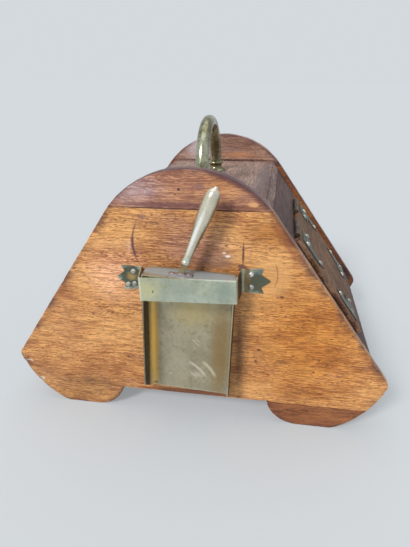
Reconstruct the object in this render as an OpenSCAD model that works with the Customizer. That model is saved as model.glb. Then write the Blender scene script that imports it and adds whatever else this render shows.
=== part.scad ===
// Wooden coal box with arched end panels, a hinged lid on its front slope, a fixed bow
// handle on top and a small pan shovel that hangs in a strap on one end panel.
// X runs from the back slope to the lid slope, Y from the shovel end to the plain end, Z up.

/* [End panels] */
// Width over the two side points of an end panel, before rounding
panel_w = 450; // [430:1:470]
// Length of the box over the outer faces of the end panels
carcass_l = 303; // [290:1:330]
// Thickness of an end panel
panel_t = 14; // [13:0.5:18]
// Height of the side points above the floor
tip_z = 72.6; // [68:0.2:78]
// Angle of the slopes above level, in degrees
slope_a = 54.7; // [54:0.1:55.5]
// Rounding of the side points
tip_r = 10; // [4:0.5:14]
// Radius of the curve that draws in from a side point to the foot
belly_r = 117; // [114:0.5:121]
// How far the centre of that curve lies inside the side point
belly_inset = 110; // [107:0.5:112]
// How far the centre of that curve lies above the side point
belly_rise = 30.4; // [28:0.2:33]
// Height of the carcass underside, where the feet are glued on
underside_z = 31; // [27:0.5:34]
// Distance from the side point in to the inner side of a foot
foot_w = 135; // [125:1:150]
// Radius of the inner curve of a foot
foot_curve_r = 38; // [35:0.5:42]
// Rounding of the outer edge of a foot
foot_edge_r = 20; // [12:0.5:24]
// Height of the glued joint of the arched cap above the upper ends of the slopes
cap_joint_rise = 5.4; // [2:0.2:10]
// Radius of the dowels in the cap and foot joints
dowel_r = 3.5; // [2.5:0.5:4]
// Depth of a dowel in each piece that it joins
dowel_depth = 12; // [8:0.5:15]
// Distance of the cap dowels from the ends of the cap joint
cap_dowel_inset = 41.8; // [35:0.2:60]
// Distance between the two dowels of a foot
foot_dowel_gap = 40; // [25:1:46]

/* [Boards] */
// Thickness of the top, slope, riser and bottom boards
board_t = 12; // [10:0.5:14]
// How far the slope boards lie below the edges of the end panels
recess = 6.3; // [5.5:0.1:8]
// Height of the top board's upper face above the upper ends of the slopes
top_rise = 6; // [2:0.5:10]
// Lean of the short riser boards below the slopes, in degrees from upright
riser_lean = 14.5; // [12:0.5:17]
// Distance down the back slope to the joint between its two boards
back_joint_s = 100; // [80:1:115]
// Side of the square battens that hold the boards to the end panels
batten_w = 14; // [12:0.5:18]
// Distance down the slope to the upper end of a slope batten
batten_start_s = 20; // [16:1:30]
// Distance from the lower end of a slope batten to the corner below it
batten_end_gap = 20.5; // [16:0.5:40]
// Space between the end of a top batten and the slope boards
top_batten_gap = 17.7; // [14:0.1:28]
// Space left between the bottom batten and each riser board
bottom_batten_gap = 10; // [5:1:20]
// Shank radius of the wood screws in the battens
batten_screw_r = 1.75; // [1.5:0.05:2]
// Length of the wood screws in the battens
batten_screw_l = 22; // [18:0.5:24]

/* [Liner] */
// Thickness of the sheet iron liner
liner_t = 1; // [0.8:0.1:1.5]
// Gap between the liner and the wood behind it
liner_gap = 0.3; // [0.2:0.1:0.5]
// Height from the lower edge of the lid opening down to the liner's front edge
liner_front_drop = 4.9; // [4:0.1:10]
// Height of the liner's back edge above its front edge
liner_back_rise = 59; // [45:1:64]
// Distance from the liner's upper edges down to the nails
liner_nail_drop = 8; // [6:0.5:12]
// Number of nails along each upper edge of the liner
liner_nail_count = 5; // [3:1:7]
// Head radius of a liner nail
nail_head_r = 2.5; // [2:0.1:3]
// Shank radius of a liner nail
nail_r = 0.9; // [0.7:0.1:1.1]

/* [Lid] */
// Distance down the slope to the upper edge of the lid
lid_top_s = 50; // [46:0.5:54]
// Length of the lid down the slope
lid_len = 140; // [134:0.5:144]
// Length of the rail between the lid opening and the corner below it
bottom_rail_l = 38.5; // [32:0.5:45]
// Width of the lid along the box
lid_w = 193; // [180:1:210]
// Thickness of the lid board inside its rebate
lid_t = 12; // [11:0.5:14]
// How far the lid's face lies below the edges of the end panels
lid_face_drop = 1.4; // [1:0.1:2]
// How far the lid overlaps the frame at its sides and lower edge
lid_lap = 8; // [6:0.5:10]
// Clearance between the lid's rebated body and the opening
lid_clear = 1.5; // [1:0.1:2]
// Gap between the closed lid's rebate and the frame it rests on
seat_gap = 0.3; // [0.2:0.05:0.4]

/* [Lid hinges] */
// Length of a hinge barrel
hinge_l = 64; // [50:1:70]
// Radius of a hinge barrel
hinge_r = 3; // [2.7:0.1:3.2]
// Radius of a hinge pin
hinge_pin_r = 1.5; // [1.2:0.1:1.7]
// Thickness of a hinge leaf
leaf_t = 1.2; // [1:0.1:1.3]
// Depth of a hinge leaf below the barrel's axis
leaf_depth = 9.5; // [8.5:0.1:10]
// Distance from the lid's side to the middle of a hinge
hinge_inset = 46; // [40:1:50]
// Clearance round the hinge pin
pin_clear = 0.05; // [0.02:0.01:0.09]
// Depth of the leaf screws below the barrel's axis
leaf_screw_drop = 6.2; // [5.8:0.1:6.4]
// Distance of the leaf screws from the middle of the hinge
leaf_screw_y = 21; // [16:1:22]

/* [Lid mounts] */
// Width of the arms of a corner mount
mount_arm_w = 20; // [16:0.5:22]
// Length of the arms of a corner mount, over the point
mount_arm_l = 48; // [47:1:58]
// Thickness of a corner mount
mount_t = 0.9; // [0.7:0.1:1.2]
// Distance from the lid's side to a corner mount
mount_side_inset = 15; // [8:0.5:18]
// Distance from the lid's upper or lower edge to a corner mount
mount_end_inset = 7; // [5:0.5:10]
// Distance from the corner stud to the stud in the arm along the box
stud_gap_y = 28; // [22:0.5:31]
// Distance from the corner stud to the stud in the arm down the slope
stud_gap_s = 29; // [22:0.5:31]
// Radius of a stud's domed head
stud_head_r = 3.2; // [2.6:0.1:3.8]
// Height of a stud's domed head
stud_head_h = 2.3; // [1.8:0.1:2.5]
// Shank radius of a stud
stud_r = 1.1; // [0.9:0.1:1.3]
// Length of a stud's shank
stud_l = 9; // [6:0.5:11]

/* [Carrying handle] */
// Radius of the handle's tube
handle_r = 8; // [7:0.25:9]
// Wall of the handle's tube
handle_wall = 2; // [1.5:0.1:3]
// Distance between the centres of the two legs
handle_span = 113; // [100:1:125]
// Distance of the handle from the middle of the top board
handle_x = -1.5; // [-6:0.5:6]
// Straight length of a leg between its foot and the bow
handle_leg = 1.5; // [1:0.5:15]
// Height of the turned foot under a leg
handle_foot_h = 14; // [12.5:0.5:18]
// Radius of the turned foot's flange
handle_foot_r = 13.5; // [12:0.5:16]
// Radius of the threaded stud that holds a foot
handle_stud_r = 3.9; // [3:0.1:4.5]
// Radius of the washer under the top board
washer_r = 10; // [9:0.5:13]
// Thickness of that washer
washer_t = 1.6; // [1.2:0.1:2.5]
// Width of the nut over its flats
nut_w = 13; // [12.5:0.5:16]
// Thickness of the nut
nut_t = 6; // [5:0.5:8]

/* [Strap holder] */
// Clearance between the hanging pan and each leg of the strap
strap_side_gap = 0.5; // [0.4:0.1:2]
// Clearance between the hanging pan and the front of the strap
strap_front_gap = 0.5; // [0.4:0.1:1.5]
// Height of the strap
strap_h = 27; // [24:0.5:32]
// Thickness of the strap
strap_t = 1.2; // [1:0.1:1.4]
// Height of the middle of the strap
strap_z = 189; // [184:0.5:191]
// Distance of the middle of the strap from the middle of the box
strap_x = 3.5; // [0:0.5:6]
// Tilt of the strap, as it was screwed on, in degrees
strap_tilt = 1.8; // [0:0.1:2]
// How far the strap's leg on the back side leans outwards to its foot
back_leg_lean = 6; // [0:0.5:7]
// How far the strap's leg on the lid side leans outwards to its foot
lid_leg_lean = 3.5; // [0:0.5:7]
// Length of an ear from the strap's leg to its middle point
ear_l = 30; // [28:0.5:38]
// Length of the pointed end of an ear
ear_crown = 7.5; // [5:0.5:9]
// How far an ear widens towards each of its corners
ear_flare = 1.2; // [0:0.1:2]
// Distance of the ear screws from the strap's leg
ear_screw_x = 9; // [8:0.5:10.5]
// Distance of the ear screws from the middle of the ear
ear_screw_z = 7.5; // [6:0.5:8]
// Head radius of an ear screw
ear_screw_head_r = 3.1; // [2.6:0.1:3.4]
// Shank radius of an ear screw
ear_screw_r = 1.6; // [1.3:0.1:1.8]
// Length of an ear screw
ear_screw_l = 11; // [8:0.5:12]

/* [Shovel] */
// Width of the pan
pan_w = 98.5; // [94:0.5:100]
// Length of the pan
pan_l = 160; // [140:1:165]
// Thickness of the pan's sheet
pan_t = 1.2; // [1:0.1:1.6]
// Depth of the pan at its closed end
pan_depth = 26; // [22:0.5:26]
// Depth of the pan's sides at the lip
pan_lip_depth = 3; // [2:0.5:8]
// Height above the lip at which the sides reach their full depth
pan_lip_rise = 17; // [10:0.5:30]
// Tilt of the shovel in its loose strap, in degrees
shovel_tilt = 2.6; // [0:0.1:3]
// Radius of the bends along the pan
pan_bend_r = 8; // [4:0.5:10]
// Gap between the hanging pan and the end panel
pan_gap = 3; // [2:0.25:3.25]
// Height of the pan's closed end above the middle of the strap
pan_top_rise = 12.5; // [9:0.5:14]
// Lean of the shovel's handle from the pan's length, in degrees
grip_lean = 19.5; // [8:0.1:22]
// Distance of the handle's root from the middle of the pan
grip_x = -9; // [-12:0.5:10]
// Distance of the tang from the pan's open front
tang_in = 8; // [6.5:0.5:13]
// Length of the tang below the handle
tang_l = 15; // [11:0.5:20]
// Width of the tang
tang_w = 6.5; // [6:0.5:11]
// Thickness of the tang
tang_t = 3.2; // [2.5:0.1:4]
// Length of the cast handle
grip_l = 85; // [65:1:90]
// Largest radius of the cast handle
grip_r = 8.4; // [7:0.1:10.5]
// Radius of the cast handle at its neck
grip_neck_r = 4.1; // [3.5:0.1:5.5]
// Radius of the button at the handle's end
grip_tip_r = 2.6; // [2:0.1:3.5]

/* [Hidden] */
$fn = 96;
cut = 1;             // overshoot of a cutting shape
joint_clear = 0.05;  // room round a shank, dowel or pin in its hole
blend = 0.02;        // how far a rounding stands past the flats that run into it

// lower part of the end panels, in x and z
tip = [panel_w / 2, tip_z];
slope_n = [sin(slope_a), cos(slope_a)];   // outward normal of the lid slope
slope_d = [cos(slope_a), -sin(slope_a)];  // direction down the lid slope
belly_c = [tip[0] - belly_inset, tip[1] + belly_rise];
tip_level = slope_n * (tip - belly_c) - tip_r;
tip_c = belly_c + tip_level * slope_n + sqrt(pow(belly_r - tip_r, 2) - pow(tip_level, 2)) * slope_d;
slope_end = tip_c + tip_r * slope_n;
belly_start = belly_c + (tip_c - belly_c) * belly_r / (belly_r - tip_r);
foot_edge_side = sqrt(pow(belly_r - foot_edge_r, 2) - pow(belly_c[1] - foot_edge_r, 2));
foot_edge_c = [belly_c[0] + foot_edge_side, foot_edge_r];
belly_end = belly_c + (foot_edge_c - belly_c) * belly_r / (belly_r - foot_edge_r);
foot_x = tip[0] - foot_w;
foot_curve_c = [foot_x + foot_curve_r, foot_curve_r];
foot_dowel_x = (foot_curve_c[0] + foot_edge_c[0]) / 2;

// board lines, each a normal and its distance from the origin
board_off = -recess;                    // outer face of the slope boards
board_in = -recess - board_t;           // inner face of the slope boards
belly_x = belly_c[0] + sqrt(belly_r * belly_r - pow(belly_c[1] - underside_z, 2));
riser_n = [cos(riser_lean), -sin(riser_lean)];
riser_level = riser_n * [belly_x - recess, underside_z];
level_n = [0, 1];

// lid opening, measured down the slope from the shoulder
lid_end_s = lid_top_s + lid_len;
opening_end_s = lid_end_s - lid_lap;
opening_w = lid_w - 2 * lid_lap;
corner_s = opening_end_s + bottom_rail_l;

// upper part of the end panels: the lid and its rails set the length of the slope
corner = meet(slope_n, slope_n * tip + board_off, riser_n, riser_level);
shoulder = corner - board_off * slope_n - corner_s * slope_d;  // where the arch runs into the slope
arch_r = shoulder[0] / slope_n[0];
arch_c = [0, shoulder[1] - arch_r * slope_n[1]];
arch_z = arch_c[1] + arch_r;
cap_joint_z = shoulder[1] + cap_joint_rise;
top_z = shoulder[1] + top_rise;

// size of the strap, from the pan that hangs askew in it
pan_askew = strap_tilt + shovel_tilt;
strap_w = pan_w * cos(pan_askew) + strap_h * sin(pan_askew) + 2 * (strap_side_gap + strap_t);
strap_out = pan_gap + pan_depth + strap_front_gap + strap_t;
leg_feet = [-strap_w / 2 - back_leg_lean, strap_w / 2 + lid_leg_lean];

// places along the box
near_y = -(carcass_l - strap_out) / 2;  // outer face of the shovel-end panel
far_y = near_y + carcass_l;
mid_y = near_y + carcass_l / 2;
inner_l = carcass_l - 2 * panel_t;

// hinge places on the slope, and the lid's rebate
leaf_room = leaf_t + 0.3;               // leaf and half the gap between the two leaves
hinge_off = board_off + hinge_r;
hinge_s = lid_top_s - leaf_room;
rail_end_s = hinge_s - leaf_room;
lip_t = recess - lid_face_drop - seat_gap;
stile_w = (inner_l - opening_w) / 2;
knuckle_gap = 0.3;
knuckle_l = (hinge_l - 2 * knuckle_gap) / 3;
barrel_room = 0.35;                     // room round the barrel in wood and in the other leaf
leaf_screw_r = 1.4;
leaf_screw_head_r = 2.5;
leaf_screw_l = 12;

// corner studs on the lid, measured from the lid's middle
stud_y = lid_w / 2 - mount_side_inset - mount_arm_w / 2;
stud_s = lid_len / 2 - mount_end_inset - mount_arm_w / 2;
arm_crown = 9;                          // length of the pointed end of a mount's arm
crown_notch = 3;                        // depth of a point's two notches behind the corners

// carrying handle
bow_r = handle_span / 2;
bow_z = top_z + handle_foot_h + handle_leg;
stud_top_z = top_z + handle_foot_h - 4;
stud_foot_z = top_z - board_t - washer_t - nut_t - 2.5;

// shovel
pan_top_z = strap_z + pan_top_rise;
pan_back_y = near_y - pan_gap;          // outer face of the pan's floor
tang_y = pan_back_y - pan_depth + tang_in;
rivet_r = 1.6;
rivet_gap = 11;
tang_foot_l = 20;
tenon_r = 2.4;
tenon_l = 10;

// ---- helpers ----

// where the lines n1 . p = d1 and n2 . p = d2 cross
function meet(n1, d1, n2, d2) =
    [d1 * n2[1] - d2 * n1[1], n1[0] * d2 - n2[0] * d1] / (n1[0] * n2[1] - n1[1] * n2[0]);
function slope_level(off) = slope_n * shoulder + off;
function slope_point(s, off) = shoulder + s * slope_d + off * slope_n;
// distance down the slope of the point that lies at height z on the plane at off
function slope_s(z, off) = (shoulder[1] + off * slope_n[1] - z) / -slope_d[1];
function at_height(off, z) = meet(slope_n, slope_level(off), level_n, z);
function riser_at(depth, z) = meet(riser_n, riser_level - depth, level_n, z);
function riser_meets_slope(depth, off) = meet(slope_n, slope_level(off), riser_n, riser_level - depth);
function flipped(points) = [for (i = [len(points) - 1 : -1 : 0]) [-points[i][0], points[i][1]]];

// stand a drawing of x and z upright and make it fill from y0 to y1
module slab(y0, y1) {
    translate([0, y1, 0])
        rotate([90, 0, 0])
            linear_extrude(height = y1 - y0)
                children();
}

// a board of the given outline that fills the length between the end panels
module long_board(points) {
    slab(near_y + panel_t, far_y - panel_t) polygon(points);
}

// y = 0 on the inner face of an end panel, with +y towards the middle of the box
module at_end(side) {
    if (side < 0)
        translate([0, near_y + panel_t, 0]) children();
    else
        translate([0, far_y - panel_t, 0]) mirror([0, 1, 0]) children();
}

// x runs down the front slope from the shoulder, z stands out from the panel edges
module on_slope() {
    translate([shoulder[0], 0, shoulder[1]])
        rotate([0, slope_a, 0])
            children();
}

// the same on the lid slope (side 1) or on the back slope (side -1)
module on_side_slope(side) {
    if (side > 0)
        on_slope() children();
    else
        mirror([1, 0, 0]) on_slope() children();
}

// flat-headed screw with its head flush at z = 0 and its point at -length
module flat_screw(head_r, shank_r, length, room = 0) {
    head_h = head_r - shank_r;
    translate([0, 0, -length])
        cylinder(r = shank_r + room, h = length);
    translate([0, 0, -head_h])
        cylinder(r1 = shank_r + room, r2 = head_r + room, h = head_h + room);
}

// domed head of the given radius and height, standing on z = 0
module dome(r, h) {
    ball_r = (r * r + h * h) / (2 * h);
    intersection() {
        translate([0, 0, h - ball_r])
            sphere(r = ball_r);
        cylinder(r = r + cut, h = h + cut);
    }
}

// flat arm from the origin along +x that ends in three points with two notches; the middle
// point is crown long, and the arm widens by flare towards each of the other two
module crown_arm(length, width, crown, flare = 0) {
    polygon([
        [0, -width / 2],
        [length - crown, -width / 2 - flare],
        [length - crown - crown_notch, -width * 0.28],
        [length, 0],
        [length - crown - crown_notch, width * 0.28],
        [length - crown, width / 2 + flare],
        [0, width / 2]
    ]);
}

// ---- end panels ----

// right half of the panel's outline, from the middle line to the side point and foot
module half_outline() {
    polygon([
        [0, underside_z], [foot_edge_c[0], underside_z], tip_c, slope_end, shoulder, [0, arch_c[1]]
    ]);
    intersection() {
        translate(arch_c) circle(r = arch_r + blend);
        square([2 * arch_r, arch_z + cut]);
    }
    translate(tip_c) circle(r = tip_r + blend);
    // the drawn-in curve, only where it is the edge, between the side point and the foot
    intersection() {
        translate(belly_c) circle(r = belly_r);
        polygon([
            [foot_curve_c[0], foot_edge_r], foot_edge_c, belly_end + (belly_end - foot_edge_c),
            [panel_w, 0], belly_start + (belly_start - tip_c), tip_c, [foot_curve_c[0], tip_c[1] + tip_r]
        ]);
    }
    translate(foot_edge_c) circle(r = foot_edge_r);
    intersection() {
        translate(foot_curve_c) circle(r = foot_curve_r);
        translate([foot_x, 0]) square([foot_curve_r + foot_edge_r / 2, foot_curve_r]);
    }
    translate([foot_curve_c[0], 0]) square([foot_edge_c[0] - foot_curve_c[0], foot_curve_r]);
}

module outline() {
    half_outline();
    mirror([1, 0]) half_outline();
}

// the part of the outline between two heights
module outline_band(z0, z1) {
    intersection() {
        outline();
        translate([-panel_w, z0]) square([2 * panel_w, z1 - z0]);
    }
}

module dowels(xs, joint_z, room) {
    for (x = xs)
        translate([x, -panel_t / 2, joint_z - dowel_depth])
            cylinder(r = dowel_r + room, h = 2 * dowel_depth);
}

cap_joint_half = sqrt(arch_r * arch_r - pow(cap_joint_z - arch_c[1], 2));
cap_dowel_xs = [-cap_joint_half + cap_dowel_inset, cap_joint_half - cap_dowel_inset];
foot_dowel_xs = [for (side = [-1, 1], step = [-0.5, 0.5]) side * foot_dowel_x + step * foot_dowel_gap];

module panel_board(side) {
    color("peru")
        at_end(side)
            difference() {
                slab(-panel_t, 0) outline_band(underside_z, cap_joint_z);
                dowels(cap_dowel_xs, cap_joint_z, joint_clear);
                dowels(foot_dowel_xs, underside_z, joint_clear);
                batten_screw_set(joint_clear);
            }
}

module cap_board(side) {
    color("sienna")
        at_end(side)
            difference() {
                slab(-panel_t, 0) outline_band(cap_joint_z, arch_z + cut);
                dowels(cap_dowel_xs, cap_joint_z, joint_clear);
            }
}

module foot_board(end, side) {
    color("peru")
        at_end(end)
            difference() {
                slab(-panel_t, 0)
                    intersection() {
                        outline_band(0, underside_z);
                        translate([side < 0 ? -panel_w : 0, 0]) square([panel_w, underside_z]);
                    }
                dowels(foot_dowel_xs, underside_z, joint_clear);
            }
}

module near_panel() {
    difference() {
        panel_board(-1);
        strap_screw_set(joint_clear);
    }
}
module far_panel() { panel_board(1); }
module near_cap() { cap_board(-1); }
module far_cap() { cap_board(1); }
module near_front_foot() { foot_board(-1, 1); }
module near_back_foot() { foot_board(-1, -1); }
module far_front_foot() { foot_board(1, 1); }
module far_back_foot() { foot_board(1, -1); }

module cap_dowels() {
    color("tan")
        for (side = [-1, 1])
            at_end(side) dowels(cap_dowel_xs, cap_joint_z, 0);
}

module foot_dowels() {
    color("tan")
        for (side = [-1, 1])
            at_end(side) dowels(foot_dowel_xs, underside_z, 0);
}

// ---- boards ----

rail_top_z = top_z - board_t;

module top_board() {
    edge = [at_height(board_off, rail_top_z), at_height(board_off, top_z)];
    color("saddlebrown")
        difference() {
            long_board(concat(edge, flipped(edge)));
            at_handle_legs() cylinder(r = handle_stud_r + joint_clear, h = 2 * top_z);
        }
}

module front_top_rail() {
    color("saddlebrown")
        difference() {
            long_board([
                at_height(board_off, rail_top_z), slope_point(rail_end_s, board_off),
                slope_point(rail_end_s, board_in), at_height(board_in, rail_top_z)
            ]);
            barrel_relief();
            hinge_screw_set(-1, joint_clear);
        }
}

// one of the two uprights beside the lid opening
module stile(y0, y1) {
    color("saddlebrown")
        on_slope()
            translate([rail_end_s, y0, board_in])
                cube([opening_end_s - rail_end_s, y1 - y0, board_t]);
}

module near_stile() { stile(near_y + panel_t, near_y + panel_t + stile_w); }
module far_stile() { stile(far_y - panel_t - stile_w, far_y - panel_t); }

module front_bottom_rail() {
    color("saddlebrown")
        difference() {
            long_board([
                slope_point(opening_end_s, board_off), riser_meets_slope(0, board_off),
                riser_meets_slope(0, board_in), slope_point(opening_end_s, board_in)
            ]);
            liner_nail_set(1, joint_clear);
        }
}

module riser(side) {
    points = [
        riser_meets_slope(0, board_in), riser_at(0, underside_z + board_t),
        riser_at(board_t, underside_z + board_t), riser_meets_slope(board_t, board_in)
    ];
    color("sienna")
        long_board(side > 0 ? points : flipped(points));
}

module front_riser() { riser(1); }
module back_riser() { riser(-1); }

module back_upper_board() {
    color("sienna")
        long_board(flipped([
            at_height(board_off, rail_top_z), slope_point(back_joint_s, board_off),
            slope_point(back_joint_s, board_in), at_height(board_in, rail_top_z)
        ]));
}

module back_lower_board() {
    color("sienna")
        difference() {
            long_board(flipped([
                slope_point(back_joint_s, board_off), riser_meets_slope(0, board_off),
                riser_meets_slope(0, board_in), slope_point(back_joint_s, board_in)
            ]));
            liner_nail_set(-1, joint_clear);
        }
}

module bottom_board() {
    edge = [riser_at(0, underside_z), riser_at(0, underside_z + board_t)];
    color("sienna")
        long_board(concat(edge, flipped(edge)));
}

// ---- battens ----

batten_end_s = corner_s - batten_end_gap;
top_batten_half = at_height(board_in, rail_top_z)[0] - top_batten_gap;
bottom_batten_half = riser_at(board_t, underside_z + board_t)[0] - bottom_batten_gap;
batten_screw_head_r = 3.4;

module slope_batten(end, side) {
    color("tan")
        difference() {
            at_end(end)
                on_side_slope(side)
                    translate([batten_start_s, 0, board_in - batten_w])
                        cube([batten_end_s - batten_start_s, batten_w, batten_w]);
            at_end(end) batten_screw_set(joint_clear);
        }
}

module level_batten(end, half, z) {
    color("tan")
        difference() {
            at_end(end)
                translate([-half, 0, z])
                    cube([2 * half, batten_w, batten_w]);
            at_end(end) batten_screw_set(joint_clear);
        }
}

module near_front_batten() { slope_batten(-1, 1); }
module near_back_batten() { slope_batten(-1, -1); }
module near_top_batten() { level_batten(-1, top_batten_half, rail_top_z - batten_w); }
module near_bottom_batten() { level_batten(-1, bottom_batten_half, underside_z + board_t); }
module far_front_batten() { slope_batten(1, 1); }
module far_back_batten() { slope_batten(1, -1); }
module far_top_batten() { level_batten(1, top_batten_half, rail_top_z - batten_w); }
module far_bottom_batten() { level_batten(1, bottom_batten_half, underside_z + board_t); }

// x and z of every screw through the battens of one end
batten_screw_places = concat(
    [for (side = [-1, 1], share = [0.15, 0.5, 0.85])
        let (s = batten_start_s + share * (batten_end_s - batten_start_s))
        let (p = slope_point(s, board_in - batten_w / 2))
        [side * p[0], p[1]]],
    [for (side = [-1, 1]) [side * top_batten_half * 0.7, rail_top_z - batten_w / 2]],
    [for (share = [-0.85, -0.3, 0.3, 0.85])
        [share * bottom_batten_half, underside_z + board_t + batten_w / 2]]
);

module batten_screw_set(room) {
    for (place = batten_screw_places)
        translate([place[0], batten_w, place[1]])
            rotate([-90, 0, 0])
                flat_screw(batten_screw_head_r, batten_screw_r, batten_screw_l, room);
}

module batten_screws() {
    color("dimgray")
        for (end = [-1, 1])
            at_end(end) batten_screw_set(0);
}

// ---- liner ----

liner_front_z = slope_point(opening_end_s, board_in)[1] - liner_front_drop;
liner_back_z = liner_front_z + liner_back_rise;

// outline of the space inside the boards, drawn in by gap
module cavity(gap) {
    edge = [
        riser_at(board_t + gap, underside_z + board_t + gap),
        riser_meets_slope(board_t + gap, board_in - gap),
        at_height(board_in - gap, rail_top_z)
    ];
    polygon(concat(edge, flipped(edge)));
}

// everything below the line from the liner's back edge to its front edge
module below_liner_edge() {
    polygon([[-panel_w, 0], [panel_w, 0], [panel_w, liner_front_z], [0, liner_front_z],
        [0, liner_back_z], [-panel_w, liner_back_z]]);
}

liner_y0 = near_y + panel_t + batten_w + liner_gap;
liner_y1 = far_y - panel_t - batten_w - liner_gap;

module liner_tray() {
    color("darkslategray")
        difference() {
            slab(liner_y0, liner_y1)
                difference() {
                    intersection() {
                        cavity(liner_gap);
                        below_liner_edge();
                    }
                    cavity(liner_gap + liner_t);
                }
            for (side = [-1, 1]) liner_nail_set(side, joint_clear);
        }
}

// the liner's end plates run up from the low front edge to the high back edge
module liner_end(y0) {
    front = at_height(board_in, liner_front_z);
    back = at_height(board_in, liner_back_z);
    color("darkslategray")
        slab(y0, y0 + liner_t)
            intersection() {
                cavity(liner_gap + liner_t);
                polygon([[-panel_w, 0], [panel_w, 0], [panel_w, liner_front_z], front,
                    [-back[0], back[1]], [-panel_w, liner_back_z]]);
            }
}

module liner_near_end() { liner_end(liner_y0); }
module liner_far_end() { liner_end(liner_y1 - liner_t); }

// nails that hold one upper edge of the liner to the board behind it
module liner_nail_set(side, room) {
    z = (side > 0 ? liner_front_z : liner_back_z) - liner_nail_drop;
    inside = board_in - liner_gap - liner_t;
    head_t = 0.8;
    pitch = (inner_l - 4 * batten_w) / (liner_nail_count - 1);
    for (i = [0 : liner_nail_count - 1])
        on_side_slope(side)
            translate([slope_s(z, inside), mid_y + (i - (liner_nail_count - 1) / 2) * pitch, inside]) {
                cylinder(r = nail_r + room, h = liner_t + liner_gap + board_t * 0.7);
                translate([0, 0, -head_t])
                    cylinder(r = nail_head_r, h = head_t);
            }
}

module liner_nails() {
    color("silver")
        for (side = [-1, 1]) liner_nail_set(side, 0);
}

// ---- lid ----

// origin on the lid's face, in the middle of the lid
module on_lid() {
    on_slope()
        translate([lid_top_s + lid_len / 2, mid_y, -lid_face_drop])
            children();
}

module lid_board() {
    body_w = opening_w - 2 * lid_clear;
    body_l = lid_len - lid_lap - lid_clear;
    color("chocolate")
        difference() {
            on_lid() {
                translate([-lid_len / 2, -lid_w / 2, -lip_t])
                    cube([lid_len, lid_w, lip_t]);
                translate([-lid_len / 2, -body_w / 2, -lid_t])
                    cube([body_l, body_w, lid_t - lip_t / 2]);
            }
            barrel_relief();
            hinge_screw_set(1, joint_clear);
            lid_stud_set(joint_clear);
        }
}

// corner mount: two crowned arms that share a corner, for the lid corner at end and side
module corner_mount(end, side) {
    reach = mount_arm_l - mount_arm_w / 2;
    color("darkgoldenrod")
        difference() {
            on_lid()
                translate([side * stud_s, end * stud_y, 0])
                    linear_extrude(height = mount_t) {
                        translate([-mount_arm_w / 2, -mount_arm_w / 2]) square(mount_arm_w);
                        rotate(side > 0 ? 180 : 0) crown_arm(reach, mount_arm_w, arm_crown);
                        rotate(end > 0 ? -90 : 90) crown_arm(reach, mount_arm_w, arm_crown);
                    }
            lid_stud_set(joint_clear);
        }
}

module near_top_mount() { corner_mount(-1, -1); }
module near_bottom_mount() { corner_mount(-1, 1); }
module far_top_mount() { corner_mount(1, -1); }
module far_bottom_mount() { corner_mount(1, 1); }

module lid_stud_set(room) {
    on_lid()
        for (side = [-1, 1], end = [-1, 1], step = [[0, 0], [stud_gap_s, 0], [0, stud_gap_y]])
            translate([side * (stud_s - step[0]), end * (stud_y - step[1]), mount_t]) {
                translate([0, 0, -stud_l])
                    cylinder(r = stud_r + room, h = stud_l);
                dome(stud_head_r, stud_head_h);
            }
}

module lid_studs() {
    color("goldenrod") lid_stud_set(0);
}

// ---- lid hinges ----

hinge_ys = [mid_y - lid_w / 2 + hinge_inset, mid_y + lid_w / 2 - hinge_inset];

// origin on the pin's axis in the middle of one hinge, x down the slope, z outwards
module at_hinge(index) {
    on_slope()
        translate([hinge_s, hinge_ys[index], hinge_off])
            children();
}

// round bar along y between two places
module bar_y(r, y0, y1) {
    translate([0, y1, 0])
        rotate([90, 0, 0])
            cylinder(r = r, h = y1 - y0);
}

module barrel_relief() {
    for (index = [0, 1])
        at_hinge(index) bar_y(hinge_r + barrel_room, -hinge_l / 2 - 1, hinge_l / 2 + 1);
}

// leaf with its knuckles: the outer two on the frame leaf (side -1), the middle one on the lid leaf
module hinge_leaf(index, side) {
    ends = knuckle_l / 2 + knuckle_gap;
    outer = [[-hinge_l / 2, -ends], [ends, hinge_l / 2]];
    middle = [[-knuckle_l / 2, knuckle_l / 2]];
    mine = side < 0 ? outer : middle;
    others = side < 0 ? middle : outer;
    plate_s = side < 0 ? -leaf_room : leaf_room - leaf_t;
    color("darkkhaki")
        difference() {
            at_hinge(index)
                difference() {
                    union() {
                        translate([plate_s, -hinge_l / 2, -leaf_depth])
                            cube([leaf_t, hinge_l, leaf_depth]);
                        for (span = mine) bar_y(hinge_r, span[0], span[1]);
                    }
                    for (span = others)
                        bar_y(hinge_r + barrel_room, span[0] - knuckle_gap, span[1] + knuckle_gap);
                    bar_y(hinge_pin_r + pin_clear, -hinge_l, hinge_l);
                }
            hinge_screw_set(side, joint_clear);
        }
}

module hinge_pin(index) {
    color("gray")
        at_hinge(index) bar_y(hinge_pin_r, -hinge_l / 2, hinge_l / 2);
}

// screws of all leaves on one side: -1 into the rail, 1 into the lid
module hinge_screw_set(side, room) {
    for (index = [0, 1], step = [-1, 1])
        at_hinge(index)
            translate([side * (leaf_room - leaf_t), step * leaf_screw_y, -leaf_screw_drop])
                rotate([0, -side * 90, 0])
                    flat_screw(leaf_screw_head_r, leaf_screw_r, leaf_screw_l, room);
}

module near_hinge_frame_leaf() { hinge_leaf(0, -1); }
module near_hinge_lid_leaf() { hinge_leaf(0, 1); }
module near_hinge_pin() { hinge_pin(0); }
module far_hinge_frame_leaf() { hinge_leaf(1, -1); }
module far_hinge_lid_leaf() { hinge_leaf(1, 1); }
module far_hinge_pin() { hinge_pin(1); }
module hinge_frame_screws() { color("silver") hinge_screw_set(-1, 0); }
module hinge_lid_screws() { color("silver") hinge_screw_set(1, 0); }

// ---- carrying handle ----

module at_handle_legs() {
    for (side = [-1, 1])
        translate([handle_x, mid_y + side * bow_r, 0]) children();
}

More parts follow.
